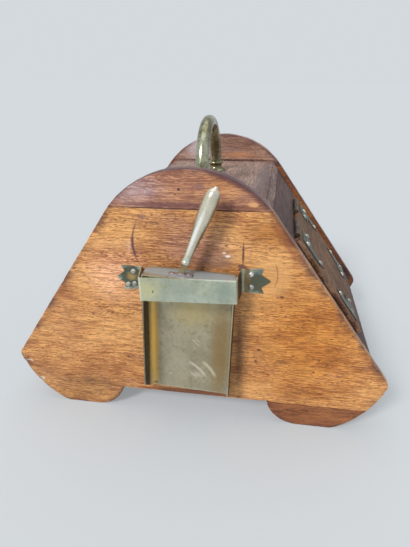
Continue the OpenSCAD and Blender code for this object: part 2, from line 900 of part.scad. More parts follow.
module carrying_handle() {
    color("darkkhaki") {
        translate([handle_x, mid_y, bow_z])
            rotate([90, 0, 90])
                rotate_extrude(angle = 180)
                    translate([bow_r, 0])
                        difference() {
                            circle(r = handle_r);
                            circle(r = handle_r - handle_wall);
                        }
        at_handle_legs()
            translate([0, 0, bow_z - handle_leg])
                difference() {
                    cylinder(r = handle_r, h = handle_leg);
                    translate([0, 0, -cut])
                        cylinder(r = handle_r - handle_wall, h = handle_leg + 2 * cut);
                }
    }
}

// turned foot with a flared flange, a neck and a ring
module handle_foot(side) {
    ring_r = handle_r + 3;
    color("goldenrod")
        translate([handle_x, mid_y + side * bow_r, top_z])
            difference() {
                rotate_extrude()
                    polygon([
                        [0, 0], [handle_foot_r, 0], [handle_foot_r, 1.6],
                        [handle_r + 2, 4], [handle_r + 0.6, 6.5],
                        [handle_r + 0.8, handle_foot_h - 4.6], [ring_r, handle_foot_h - 3.8],
                        [ring_r, handle_foot_h - 1.2], [ring_r - 1, handle_foot_h], [0, handle_foot_h]
                    ]);
                translate([0, 0, -cut])
                    cylinder(r = handle_stud_r + joint_clear, h = stud_top_z - top_z + cut);
            }
}

module near_handle_foot() { handle_foot(-1); }
module far_handle_foot() { handle_foot(1); }

module handle_studs() {
    color("silver")
        at_handle_legs()
            translate([0, 0, stud_foot_z])
                cylinder(r = handle_stud_r, h = stud_top_z - stud_foot_z);
}

module handle_washers() {
    color("silver")
        at_handle_legs()
            translate([0, 0, rail_top_z - washer_t])
                difference() {
                    cylinder(r = washer_r, h = washer_t);
                    translate([0, 0, -cut])
                        cylinder(r = handle_stud_r + joint_clear, h = washer_t + 2 * cut);
                }
}

module handle_nuts() {
    color("silver")
        at_handle_legs()
            translate([0, 0, rail_top_z - washer_t - nut_t])
                difference() {
                    cylinder(r = nut_w / sqrt(3), h = nut_t, $fn = 6);
                    translate([0, 0, -cut])
                        cylinder(r = handle_stud_r + joint_clear, h = nut_t + 2 * cut);
                }
}

// ---- strap holder ----

// x along the end panel, y up, z out from its face, with the strap's own tilt
module on_strap() {
    translate([strap_x, near_y, strap_z])
        rotate([90, 0, 0])
            rotate(strap_tilt)
                children();
}

module strap_holder() {
    color("darkkhaki")
        difference() {
            on_strap() {
                translate([0, strap_h / 2, 0])
                    rotate([90, 0, 0])
                        linear_extrude(height = strap_h) strap_bend();
                for (side = [0, 1])
                    linear_extrude(height = strap_t)
                        translate([leg_feet[side], 0])
                            rotate(side > 0 ? 0 : 180)
                                translate([-strap_t, 0])
                                    crown_arm(ear_l + strap_t, strap_h, ear_crown, ear_flare);
            }
            strap_screw_set(joint_clear);
        }
}

// the strap seen from above: two legs that lean outwards to their feet, and the front between
module strap_bend() {
    half = strap_w / 2;
    polygon([
        [leg_feet[0], 0], [leg_feet[0] + strap_t, 0],
        [-half + strap_t, strap_out - strap_t], [half - strap_t, strap_out - strap_t],
        [leg_feet[1] - strap_t, 0], [leg_feet[1], 0],
        [half, strap_out], [-half, strap_out]
    ]);
}

// two screws in each ear and a third, added later, in the back-side ear
strap_screw_places = concat(
    [for (side = [0, 1], step = [-1, 1]) [leg_feet[side] + (2 * side - 1) * ear_screw_x, step * ear_screw_z]],
    [[leg_feet[0] - ear_screw_x - ear_screw_z, -ear_screw_z - 1]]
);

module strap_screw_set(room) {
    slot_w = 0.8;
    slot_depth = 0.9;
    head_h = ear_screw_head_r * 0.62;
    on_strap()
        for (place = strap_screw_places)
            translate([place[0], place[1], strap_t]) {
                translate([0, 0, -ear_screw_l])
                    cylinder(r = ear_screw_r + room, h = ear_screw_l);
                difference() {
                    dome(ear_screw_head_r, head_h);
                    translate([-slot_w / 2, -ear_screw_head_r, head_h - slot_depth])
                        cube([slot_w, 2 * ear_screw_head_r, head_h]);
                }
            }
}

module strap_screws() {
    color("silver") strap_screw_set(0);
}

// ---- shovel ----

// the shovel's own upright frame, tilted about the middle of the strap
module on_shovel() {
    translate([strap_x, 0, strap_z])
        rotate([0, shovel_tilt, 0])
            translate([-strap_x, 0, -strap_z])
                children();
}

// cross-section of the pan in x and depth, rounded along the floor's two bends
module pan_section(wall, front) {
    r = pan_bend_r - wall;
    half = pan_w / 2 - wall;
    translate([-half, -front]) square([2 * half, front - wall - r]);
    translate([-half + r, -wall - r - cut]) square([2 * (half - r), r + cut]);
    for (side = [-1, 1])
        translate([side * (half - r), -wall - r]) circle(r = r);
}

module shovel_pan() {
    lip_z = pan_top_z - pan_l;
    color("darkkhaki")
        difference() {
            on_shovel() translate([strap_x, pan_back_y, 0])
                difference() {
                    translate([0, 0, lip_z])
                        linear_extrude(height = pan_l) pan_section(0, pan_depth);
                    translate([0, 0, lip_z - cut])
                        linear_extrude(height = pan_l - pan_t + cut) pan_section(pan_t, pan_depth + cut);
                    // the sides are cut back obliquely above the lip
                    translate([-pan_w, 0, 0])
                        rotate([90, 0, 90])
                            linear_extrude(height = 2 * pan_w)
                                polygon([
                                    [-pan_lip_depth, lip_z - cut], [-pan_lip_depth, lip_z],
                                    [-pan_depth, lip_z + pan_lip_rise],
                                    [-2 * pan_depth, lip_z + pan_lip_rise], [-2 * pan_depth, lip_z - cut]
                                ]);
                }
            rivet_set(joint_clear);
        }
}

// x and y of the handle's root on the pan's closed end
module at_tang() {
    on_shovel() translate([strap_x + grip_x, tang_y, pan_top_z]) children();
}

// along the leaning handle, with z = 0 at the top of the tang
module on_grip() {
    at_tang()
        rotate([0, grip_lean, 0])
            translate([0, 0, tang_l])
                children();
}

rivet_xs = [-rivet_gap / 2 - tang_w / 2, rivet_gap / 2 + tang_w / 2];
tang_foot_t = 2;

module shovel_tang() {
    foot_half = rivet_xs[1] + 2.5 * rivet_r;
    color("olive")
        difference() {
            union() {
                at_tang()
                    translate([-foot_half, -tang_w / 2, 0])
                        cube([2 * foot_half, tang_w, tang_foot_t]);
                difference() {
                    on_grip()
                        translate([-tang_w / 2, -tang_t / 2, -tang_l - tang_w / 2])
                            cube([tang_w, tang_t, tang_l + tang_w / 2]);
                    at_tang()
                        translate([-pan_w, -pan_w, -2 * tang_w])
                            cube([2 * pan_w, 2 * pan_w, 2 * tang_w]);
                }
                on_grip() cylinder(r = tenon_r, h = tenon_l);
            }
            rivet_set(joint_clear);
        }
}

// rivets through the tang's foot and the pan's closed end
module rivet_set(room) {
    head_h = rivet_r * 0.8;
    at_tang()
        for (x = rivet_xs)
            translate([x, 0, 0]) {
                translate([0, 0, -pan_t])
                    cylinder(r = rivet_r + room, h = pan_t + tang_foot_t);
                translate([0, 0, tang_foot_t])
                    dome(rivet_r * 1.6, head_h);
                translate([0, 0, -pan_t])
                    mirror([0, 0, 1]) dome(rivet_r * 1.6, head_h);
            }
}

module shovel_rivets() {
    color("goldenrod") rivet_set(0);
}

// radius of the cast handle at a share of its length: it swells to 0.8 and then rounds off bluntly
function grip_radius(share) =
    share < 0.8
        ? grip_neck_r + (grip_r - grip_neck_r) * pow(sin(share / 0.8 * 90), 2)
        : grip_tip_r + (grip_r - grip_tip_r) * sqrt(max(0, 1 - pow((share - 0.8) / 0.2, 2)));

module shovel_grip() {
    collar_h = 3.5;
    collar_r = grip_neck_r + 0.7;
    steps = 30;
    swell = [for (i = [0 : steps]) [grip_radius(i / steps), collar_h + i / steps * (grip_l - collar_h)]];
    color("darkkhaki")
        on_grip()
            difference() {
                rotate_extrude()
                    polygon(concat(
                        [[0, 0], [collar_r, 0], [collar_r, collar_h]],
                        swell,
                        [[grip_tip_r, grip_l + 1.5], [grip_tip_r * 0.6, grip_l + 2.8], [0, grip_l + 3]]
                    ));
                translate([0, 0, -cut])
                    cylinder(r = tenon_r + joint_clear, h = tenon_l + cut + 0.2);
            }
}

// ---- all pieces ----

near_panel();
near_cap();
near_front_foot();
near_back_foot();
far_panel();
far_cap();
far_front_foot();
far_back_foot();
cap_dowels();
foot_dowels();
top_board();
front_top_rail();
near_stile();
far_stile();
front_bottom_rail();
front_riser();
back_upper_board();
back_lower_board();
back_riser();
bottom_board();
near_front_batten();
near_back_batten();
near_top_batten();
near_bottom_batten();
far_front_batten();
far_back_batten();
far_top_batten();
far_bottom_batten();
batten_screws();
liner_tray();
liner_near_end();
liner_far_end();
liner_nails();
lid_board();
near_top_mount();
near_bottom_mount();
far_top_mount();
far_bottom_mount();
lid_studs();
near_hinge_frame_leaf();
near_hinge_lid_leaf();
near_hinge_pin();
far_hinge_frame_leaf();
far_hinge_lid_leaf();
far_hinge_pin();
hinge_frame_screws();
hinge_lid_screws();
carrying_handle();
near_handle_foot();
far_handle_foot();
handle_studs();
handle_washers();
handle_nuts();
strap_holder();
strap_screws();
shovel_pan();
shovel_tang();
shovel_rivets();
shovel_grip();
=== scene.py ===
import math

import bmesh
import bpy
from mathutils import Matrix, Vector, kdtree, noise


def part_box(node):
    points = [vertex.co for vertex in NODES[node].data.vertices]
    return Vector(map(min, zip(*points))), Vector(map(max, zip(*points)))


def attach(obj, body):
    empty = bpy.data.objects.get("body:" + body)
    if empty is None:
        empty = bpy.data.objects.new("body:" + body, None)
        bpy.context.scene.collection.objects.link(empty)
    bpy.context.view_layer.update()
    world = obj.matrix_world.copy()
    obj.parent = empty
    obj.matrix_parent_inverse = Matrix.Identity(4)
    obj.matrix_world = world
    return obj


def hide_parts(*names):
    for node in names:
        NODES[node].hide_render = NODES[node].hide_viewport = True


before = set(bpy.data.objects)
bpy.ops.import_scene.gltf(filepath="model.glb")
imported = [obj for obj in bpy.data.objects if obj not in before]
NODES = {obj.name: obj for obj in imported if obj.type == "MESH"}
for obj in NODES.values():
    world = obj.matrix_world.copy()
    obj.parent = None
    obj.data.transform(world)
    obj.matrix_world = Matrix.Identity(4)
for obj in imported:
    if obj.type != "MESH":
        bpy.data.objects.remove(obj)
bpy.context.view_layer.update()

# %% [markdown]
# # An old oak coal box, dressed for its portrait
#
# The frame that was just loaded is a coal box that stands by the hearth: two arched oak
# end panels, boards between them, a lid on the front slope, a brass bow handle on top and
# a brass shovel that hangs in a strap on one end. Every piece of it already has its true
# size and place. What follows gives each piece what a cabinet maker, a founder and a
# hundred years of use gave it: broken edges, grain, wax, soot, dents and tarnish.
#
# All lengths are in metres, in the frame's own axes: X runs towards the lid, Y away from
# the shovel, Z up. Sizes that read better in millimetres are written as `9 * MM`.

MM = 0.001
SCENE = bpy.context.scene
print("pieces in the frame:", len(NODES))

# %% [markdown]
# ## The viewpoint
#
# The picture is taken from just above the box and a little to its right, quite close, so
# the near end panel looks large and its slopes lean apart. A camera is placed by the
# point it looks from and three angles. Turning those angles into a rotation by hand keeps
# them readable: heading round the vertical, tilt down, and the small roll of a hand-held
# shot.

# %% Camera
IMAGE_WIDTH = 410                        # pixels
FOCAL_PIXELS = 438.1                     # focal length, in pixels of that image
EYE = Vector((93.7, -564.5, 390.1)) * MM
HEADING = 0.176                          # radians, to the left of +Y
TILT = -0.419                            # radians above level
ROLL = -0.014                            # radians


def look_from(name, eye, heading, tilt, roll):
    """A camera at eye, aimed by its heading, tilt and roll."""
    lens = bpy.data.cameras.new(name)
    lens.sensor_fit = "HORIZONTAL"
    lens.sensor_width = 36.0
    lens.lens = FOCAL_PIXELS * lens.sensor_width / IMAGE_WIDTH
    lens.clip_start = 0.01
    camera = bpy.data.objects.new(name, lens)
    SCENE.collection.objects.link(camera)
    turn = Matrix.Rotation(heading, 4, "Z") @ Matrix.Rotation(math.pi / 2 + tilt, 4, "X")
    camera.matrix_world = Matrix.Translation(eye) @ turn @ Matrix.Rotation(roll, 4, "Z")
    return camera


SCENE.camera = look_from("viewpoint", EYE, HEADING, TILT, ROLL)
print("lens:", round(SCENE.camera.data.lens, 2), "mm")

# %% [markdown]
# ## Words for mixing finishes
#
# Every finish below is a network of shader nodes. Placing nodes one call at a time hides
# what they are for, so a small palette gives them plain words: `noise` for clouds of a
# stated size in millimetres, `rise` for a smooth step, `mix` for laying one colour over
# another. Colours are written as they look on a screen, from 0 to 255, and turned into
# the linear light that the renderer works in.

# %% Colours and the palette
def screen(red, green, blue):
    """A colour as seen on a screen, 0 to 255, as linear light with its alpha."""
    shares = [value / 255 for value in (red, green, blue)]
    return [s / 12.92 if s <= 0.04045 else ((s + 0.055) / 1.055) ** 2.4 for s in shares] + [1.0]


class Palette:
    """One node tree, with short words for the nodes that a finish is mixed from."""

    def __init__(self, tree):
        self.tree = tree

    def feed(self, socket, value):
        """Links a socket to another one, or sets its plain value."""
        if isinstance(value, bpy.types.NodeSocket):
            self.tree.links.new(value, socket)
        else:
            socket.default_value = value

    def node(self, kind, inputs=(), **settings):
        """A shader node with its settings, and its inputs by name or number."""
        made = self.tree.nodes.new("ShaderNode" + kind)
        for name, value in settings.items():
            setattr(made, name, value)
        for name, value in dict(inputs).items():
            self.feed(made.inputs[name], value)
        return made

    def group(self, group, **inputs):
        """A node group, with underscores in its input names for the spaces."""
        made = self.node("Group", node_tree=group)
        for name, value in inputs.items():
            self.feed(made.inputs[name.replace("_", " ")], value)
        return made.outputs

    def math(self, operation, *values):
        """A sum with plain numbers, such as MULTIPLY or MAXIMUM."""
        return self.node("Math", enumerate(values), operation=operation).outputs[0]

    def vector(self, operation, *values):
        """A sum with places or directions."""
        made = self.node("VectorMath", enumerate(values), operation=operation)
        return made.outputs["Value" if operation == "LENGTH" else "Vector"]

    def rise(self, value, low, high, bottom=0.0, top=1.0):
        """A smooth step from bottom, where value is low, to top, where it is high."""
        ends = {"Value": value, "From Min": low, "From Max": high, "To Min": bottom, "To Max": top}
        return self.node("MapRange", ends, interpolation_type="SMOOTHSTEP").outputs[0]

    def noise(self, place, size, detail=2.0, roughness=0.5):
        """Clouds between 0 and 1, about size millimetres across along each axis."""
        spot = self.vector("DIVIDE", place, size)
        wanted = {"Vector": spot, "Scale": 1.0, "Detail": detail, "Roughness": roughness}
        return self.node("TexNoise", wanted).outputs[0]

    def mix(self, share, under, over, blend="MIX"):
        """The colour over laid on the colour under."""
        made = self.node("Mix", {0: share, 6: under, 7: over}, data_type="RGBA", blend_type=blend)
        return made.outputs[2]

    def add(self, *terms):
        """The sum of the terms, each a value or a (value, factor) pair."""
        total = 0.0
        for term in terms:
            value, factor = term if isinstance(term, tuple) else (term, 1.0)
            total = self.math("MULTIPLY_ADD", value, factor, total)
        return total


def new_group(name, inputs, outputs):
    """A node group with its sockets, and a palette for filling it."""
    tree = bpy.data.node_groups.new(name, "ShaderNodeTree")
    for label, kind, value in inputs:
        socket = tree.interface.new_socket(label, in_out="INPUT", socket_type="NodeSocket" + kind)
        if value is not None:
            socket.default_value = value
    for label, kind in outputs:
        tree.interface.new_socket(label, in_out="OUTPUT", socket_type="NodeSocket" + kind)
    given = tree.nodes.new("NodeGroupInput").outputs
    result = tree.nodes.new("NodeGroupOutput").inputs
    return tree, Palette(tree), given, result


def new_material(name):
    """An empty material with its palette."""
    material = bpy.data.materials.new(name)
    material.use_nodes = True
    material.node_tree.nodes.clear()
    return material, Palette(material.node_tree)


def place_in_mm(words, turn):
    """Object coordinates in millimetres, turned so that X runs along the grain."""
    here = words.node("TexCoord").outputs["Object"]
    wanted = {"Vector": here, "Rotation": turn, "Scale": (1 / MM, 1 / MM, 1 / MM)}
    return words.node("Mapping", wanted).outputs[0]


print("gold, in linear light:", [round(c, 3) for c in screen(150, 120, 50)])

# %% [markdown]
# ## Light, floor and backdrop
#
# The box stands on a seamless pale sheet in soft daylight. The main light comes from the
# upper left and front: the shovel throws its shadow to the right. A sun lamp suits this,
# because its light is as strong at the feet as at the handle, and a wide angle gives soft
# shadow edges. A second, much wider sun lights the top and the floor. The world fills the
# shadows. What the camera and the metal see behind the box is the sheet's own colour,
# chosen by Light Path, so that the floor runs into the backdrop without a seam and only
# the soft shadow shows where the box stands. A part of the sheet's own look is that
# colour too, which keeps the shadow as light as on a lit sheet.

# %% World, suns and floor
BACKDROP = screen(212, 217, 221)
SKY = (0.95, 0.98, 1.0)
FILL = 0.40                              # strength of the sky light
KEY = (2.05, 14)                         # strength, and width in degrees
KEY_FROM = (-0.37, -0.68, 0.62)
SOFT_TOP = (0.95, 60)
SOFT_TOP_FROM = (0.0, 0.18, 1.0)
OWN_GLOW = 0.38                          # share of the sheet's look that shadows don't reach
LIT_LEVEL = 1.07                         # light that reaches a level floor
MOTTLED = 0.995                          # the sheet is this much darker in faint clouds
FLOOR_REACH = 30                         # metres each way, so that its edge is never seen


def add_sun(name, strength, width, towards, tint):
    """A sun lamp whose light comes from the direction towards."""
    light = bpy.data.lights.new(name, "SUN")
    light.energy = strength
    light.angle = math.radians(width)
    light.color = tint
    lamp = bpy.data.objects.new(name, light)
    SCENE.collection.objects.link(lamp)
    lamp.rotation_euler = Vector(towards).to_track_quat("Z", "Y").to_euler()


def shown_directly(words):
    """One for rays that show a surface itself, to the eye, in a reflection or through glass."""
    rays = words.node("LightPath").outputs
    seen = words.math("MAXIMUM", rays["Is Camera Ray"], rays["Is Glossy Ray"])
    return words.math("MAXIMUM", seen, rays["Is Transmission Ray"])


def darker(colour, share):
    """The colour with its light multiplied by the share."""
    return [value * share for value in colour[:3]] + [1.0]


add_sun("key_sun", *KEY, KEY_FROM, (1.0, 0.985, 0.96))
add_sun("soft_top", *SOFT_TOP, SOFT_TOP_FROM, SKY)

world = bpy.data.worlds.new("daylight")
SCENE.world = world
world.use_nodes = True
world.node_tree.nodes.clear()
words = Palette(world.node_tree)
shown = words.node("Background", {"Color": BACKDROP, "Strength": 1.0})
fill = words.node("Background", {"Color": (*SKY, 1.0), "Strength": FILL})
both = words.node("MixShader", {0: shown_directly(words), 1: fill.outputs[0], 2: shown.outputs[0]})
words.node("OutputWorld", {"Surface": both.outputs[0]})
print("sky light:", FILL, "and suns:", KEY, SOFT_TOP)

# %% Paper sheet
sheet, words = new_material("paper_sheet")
place = place_in_mm(words, (0, 0, 0))
mottle = words.noise(place, (900, 900, 900), 3)
pale = darker(BACKDROP, 1 / LIT_LEVEL)
tone = words.mix(words.rise(mottle, 0.3, 0.7), pale, darker(pale, MOTTLED))
skin = words.node("BsdfPrincipled", {"Base Color": tone, "Roughness": 0.95, "Specular IOR Level": 0.0})
glow = words.node("Emission", {"Color": BACKDROP, "Strength": 1.0})
share = words.math("MULTIPLY", shown_directly(words), OWN_GLOW)
both = words.node("MixShader", {0: share, 1: skin.outputs[0], 2: glow.outputs[0]})
words.node("OutputMaterial", {"Surface": both.outputs[0]})

bm = bmesh.new()
bmesh.ops.create_grid(bm, x_segments=8, y_segments=8, size=FLOOR_REACH)
floor_mesh = bpy.data.meshes.new("paper_floor")
bm.to_mesh(floor_mesh)
bm.free()
floor_mesh.materials.append(sheet)
paper_floor = bpy.data.objects.new("paper_floor", floor_mesh)
SCENE.collection.objects.link(paper_floor)
SCENE.view_settings.view_transform = "Standard"
print("floor albedo:", [round(c, 3) for c in pale[:3]])

# %% [markdown]
# ## Oak
#
# The panels are plain-sawn oak under old shellac and wax. What the eye reads as oak is a
# stack of things at different sizes: slow clouds of honey and brown, growth bands a few
# millimetres apart that wander along the board, short wavy lines, and the open pores,
# dark dashes about half a millimetre wide that collect in the early wood. One noise
# texture can't give all of these, so the group below lays eight over each other, along
# lines that two more bend. All of them are stretched along X, and each board turns its own
# coordinates so that X follows its grain. The seed moves each board to another place in
# the same endless log.

# %% Node group: oak figure
OAK, words, given, result = new_group(
    "oak_figure",
    [
        ("Place", "Vector", None), ("Seed", "Float", 0.0), ("Contrast", "Float", 1.0),
        ("Pale", "Color", None), ("Golden", "Color", None), ("Brown", "Color", None),
        ("Mauve", "Color", None),
    ],
    [("Color", "Color"), ("Height", "Float"), ("Polish", "Float")],
)
place = words.vector("MULTIPLY_ADD", given["Seed"], (71.3, 37.7, 113.1), given["Place"])
sway = words.noise(place, (120, 34, 70), 1)
ripple = words.noise(place, (13, 4, 10), 2)
across = words.add((sway, 16.0), (ripple, 1.5))
lift = words.node("CombineXYZ", {"Y": across}).outputs[0]
bent = words.vector("ADD", place, lift)
bands = words.noise(bent, (240, 9, 26), 2)
coarse = words.noise(bent, (44, 2.4, 8), 1)
lines = words.noise(bent, (21, 0.9, 3), 2, 0.6)
threads = words.noise(bent, (5, 0.5, 1.2), 1)
pores = words.noise(bent, (5, 0.5, 0.9), 0)
clouds = words.noise(place, (70, 34, 56), 3, 0.6)
drift = words.noise(place, (34, 20, 30), 3, 0.6)
flecks = words.noise(place, (4.6, 2.0, 4), 1)

early = words.rise(bands, 0.42, 0.6)
stack = words.add((lines, 0.48), (coarse, 0.17), (bands, 0.08), (threads, 0.27))
figure = words.math("MULTIPLY", words.rise(stack, 0.545, 0.435), given["Contrast"])
glints = words.math("MULTIPLY", words.rise(stack, 0.50, 0.57), 0.6)
pore_mask = words.math("MULTIPLY", words.rise(pores, 0.6, 0.68), words.rise(early, 0.0, 1.0, 0.35))
fleck_mask = words.rise(flecks, 0.68, 0.76)
ground = words.mix(words.rise(clouds, 0.38, 0.66), given["Golden"], given["Pale"])
ground = words.mix(words.rise(drift, 0.54, 0.74, 0.0, 0.55), ground, given["Mauve"])
shade = words.mix(words.rise(clouds, 0.5, 0.25, 0.0, 0.4), ground, given["Brown"])
shade = words.mix(glints, shade, given["Pale"])
grained = words.mix(figure, shade, words.mix(0.66, shade, given["Brown"]))
pored = words.mix(words.math("MULTIPLY", pore_mask, 0.7), grained, given["Brown"], "MULTIPLY")
words.feed(result["Color"], words.mix(fleck_mask, pored, words.mix(0.8, pored, screen(92, 54, 36))))
words.feed(result["Height"], words.add((lines, 0.5), (threads, 0.35), (pore_mask, -1.0)))
words.feed(result["Polish"], words.add((clouds, -0.30), (figure, 0.07), (pore_mask, 0.2), 0.18))
print("oak figure:", len(OAK.nodes), "nodes")

# %% [markdown]
# ## Worn and grimy edges
#
# Along the arrises, the long outer edges, polish is rubbed through to pale wood in
# patches, and a few millimetres further in, where a cloth doesn't reach, wax and soot
# have built up into a dark band. A shader can't measure how far it is from an edge, but
# the mesh can: each wooden piece carries an attribute, `edge_mm`, with the distance from
# each point to its nearest arris. This group turns that distance into two masks.

# %% Node group: worn arris
WORN, words, given, result = new_group(
    "worn_arris",
    [
        ("Place", "Vector", None), ("Distance", "Float", 50.0),
        ("Rubbed", "Float", 1.5), ("Grimy", "Float", 9.0),
    ],
    [("Bare", "Float"), ("Grime", "Float")],
)
patches = words.noise(given["Place"], (19, 19, 19), 3, 0.6)
crumbs = words.noise(given["Place"], (2.6, 1.6, 2.6), 2)
reach = words.math("MULTIPLY", given["Rubbed"], words.rise(patches, 0.36, 0.68, 0.25, 1.7))
ragged = words.add(given["Distance"], (crumbs, 2.4), -1.2)
words.feed(result["Bare"], words.rise(ragged, reach, 0.0))
grime_patches = words.noise(given["Place"], (34, 22, 34), 2)
band = words.rise(words.add(given["Distance"], (crumbs, 3.0)), given["Grimy"], 1.0)
words.feed(result["Grime"], words.math("MULTIPLY", band, words.rise(grime_patches, 0.35, 0.6)))
print("worn arris:", len(WORN.nodes), "nodes")

# %% [markdown]
# ## Single marks
#
# A used box has its own marks: a burn, a nail hole, the ring a hot thing left. Each is one soft-edged oval
# with a ragged outline, placed in millimetres; the same oval also paints shade, shadows and highlights. A
# second group draws part of a circle, for the long curved rub that a swinging tool leaves.

# %% Node groups: stain, which also paints shade and highlights, and rub
STAIN_AND_PAINTED_LIGHT, words, given, result = new_group(
    "stain",
    [
        ("Place", "Vector", None), ("Centre", "Vector", None), ("Size", "Vector", None),
        ("Ragged", "Float", 0.5), ("Soft", "Float", 0.6),
    ],
    [("Mask", "Float")],
)
gap = words.vector("DIVIDE", words.vector("SUBTRACT", given["Place"], given["Centre"]), given["Size"])
torn = words.add((words.noise(given["Place"], (6, 2.6, 6), 3, 0.6), given["Ragged"]),
                 (given["Ragged"], -0.5))
far = words.math("ADD", words.vector("LENGTH", gap), torn)
words.feed(result["Mask"], words.rise(far, 1.0, words.math("SUBTRACT", 1.0, given["Soft"])))

RUB, words, given, result = new_group(
    "curved_rub",
    [
        ("Place", "Vector", None), ("Centre", "Vector", None),
        ("Radius", "Float", 60.0), ("Width", "Float", 1.5),
    ],
    [("Mask", "Float")],
)
flat = words.vector("MULTIPLY", words.vector("SUBTRACT", given["Place"], given["Centre"]), (1, 1, 0))
away = words.math("SUBTRACT", words.vector("LENGTH", flat), given["Radius"])
shiver = words.add((words.noise(given["Place"], (5, 5, 5), 2), 1.2), -0.6)
off_line = words.math("ABSOLUTE", words.math("ADD", away, shiver))
words.feed(result["Mask"], words.rise(off_line, given["Width"], 0.0))
print("mark groups:", STAIN_AND_PAINTED_LIGHT.name, RUB.name)

# %% [markdown]
# ## Wood finishes
#
# All wood shares one recipe and differs in its colours, its grain direction, how far its
# edges are rubbed, and its list of marks. The recipe stays a function, so a change to
# the polish reaches every board. A mark is laid on before the edge wear, because the
# wear is younger than most stains. The curved rubs come last: they cross the worn edges.

# %% Recipe for polished oak
BARE_OAK = screen(186, 148, 122)
OLD_WAX = screen(84, 50, 50)
WORN_THROUGH = 0.85                      # how far bare wood covers the polish where it is rubbed
GRAIN_DEPTH = 0.12 * MM


def lay_marks(words, place, colour, marks):
    """The colour with each mark laid on: (centre, size, colour, strength, ragged, soft)."""
    for centre, size, tint, strength, ragged, soft in marks:
        mask = words.group(STAIN_AND_PAINTED_LIGHT, Place=place, Centre=centre, Size=size, Ragged=ragged, Soft=soft)
        colour = words.mix(words.math("MULTIPLY", mask[0], strength), colour, screen(*tint))
    return colour


def lay_tints(words, place, colour, tints):
    """The colour multiplied by soft washes of stain and of painted sheen and shade: (centre, size,
    factors, strength).
    """
    for centre, size, factors, strength in tints:
        mask = words.group(STAIN_AND_PAINTED_LIGHT, Place=place, Centre=centre, Size=size, Ragged=0.9, Soft=0.9)
        colour = words.mix(words.math("MULTIPLY", mask[0], strength), colour,
                           words.mix(1.0, colour, (*factors, 1.0), "MULTIPLY"))
    return colour


def lay_rubs(words, place, colour, rubs):
    """The colour with parts of circles laid on, each seen through an oval window of a size."""
    for centre, radius, width, window, size, tint, strength in rubs:
        line = words.group(RUB, Place=place, Centre=centre, Radius=radius, Width=width)
        part = words.group(STAIN_AND_PAINTED_LIGHT, Place=place, Centre=window, Size=size, Ragged=0.3, Soft=0.5)
        mask = words.math("MULTIPLY", line[0], part[0])
        colour = words.mix(words.math("MULTIPLY", mask, strength), colour, screen(*tint))
    return colour


def oak_finish(name, seed, turn, colours, rubbed=1.3, grimy=8.0, contrast=0.9, marks=(), rubs=(),
               tints=(), bare=BARE_OAK, grime=0.7, roughness=0.42, coat=0.14):
    """Polished oak with grain, marks, rubbed edges and old wax; colours are pale, golden, brown, mauve."""
    material, words = new_material(name)
    place = place_in_mm(words, turn)
    pale, golden, brown, mauve = (screen(*colour) for colour in colours)
    oak = words.group(OAK, Place=place, Seed=seed, Contrast=contrast,
                      Pale=pale, Golden=golden, Brown=brown, Mauve=mauve)
    colour = lay_tints(words, place, oak["Color"], tints)
    colour = lay_marks(words, place, colour, marks)
    distance = words.node("Attribute", attribute_name="edge_mm").outputs["Fac"]
    edge = words.group(WORN, Place=place, Distance=distance, Rubbed=rubbed, Grimy=grimy)
    colour = words.mix(words.math("MULTIPLY", edge["Grime"], grime), colour, OLD_WAX)
    colour = words.mix(words.math("MULTIPLY", edge["Bare"], WORN_THROUGH), colour, bare)
    colour = lay_rubs(words, place, colour, rubs)
    polish = words.add(oak["Polish"], (edge["Bare"], 0.25), roughness)
    bump = words.node("Bump", {"Height": oak["Height"], "Strength": 0.5, "Distance": GRAIN_DEPTH})
    skin = words.node("BsdfPrincipled", {
        "Base Color": colour, "Roughness": polish, "Normal": bump.outputs[0],
        "Specular IOR Level": 0.35, "Coat Weight": coat, "Coat Roughness": 0.32,
    })
    words.node("OutputMaterial", {"Surface": skin.outputs[0]})
    return material


SLOPE = math.radians(54.7)
QUARTER = math.pi / 2
ALONG_X = (-QUARTER, 0, 0)               # place becomes (x, z, -y)
ALONG_Y = (0, 0, -QUARTER)               # place becomes (y, -x, z)
DOWN_SLOPE = (0, -SLOPE, 0)              # along the slope, y, off the slope
ACROSS_SLOPE = (0, -SLOPE, -QUARTER)     # y, up the slope, off the slope
ACROSS_BACK = (0, SLOPE, -QUARTER)       # the same on the back slope
print("slope of the lid:", round(math.degrees(SLOPE), 1), "degrees")

# %% [markdown]
# The near end panel is the face of the object, so its marks are placed one by one. In the turned
# coordinates of the panels, the first number runs across the panel towards the lid, the second is the
# height, and the third is the depth of the outer face, where all of these marks lie. Broad washes come
# first, because a board takes up stain and sun unevenly. Some washes and marks are painted light: a cool
# sheen on the upper left, shade above the strap and a shadow beside the pan.

# %% Marks on the shovel-end panel and its cap
def outer_face(name):
    """How far a piece reaches towards the shovel's end, in mm."""
    return round(-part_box(name)[0].y / MM, 2)


FACE = outer_face("near_panel")
DEEP = 9.0                               # a mark reaches this far into the board
WASH_DEEP = 30                           # and a wash this far, round the edges too


def wash(x, z, wide, high, factors, strength=0.9):
    """A broad wash on the outer face, whose factors multiply the oak's red, green and blue."""
    return ((x, z, FACE), (wide, high, WASH_DEEP), factors, strength)


def oval(x, z, wide, high, tint, strength, ragged=0.5, soft=0.6):
    """A mark on the outer face of the shovel-end panel."""
    return ((x, z, FACE), (wide, high, DEEP), tint, strength, ragged, soft)


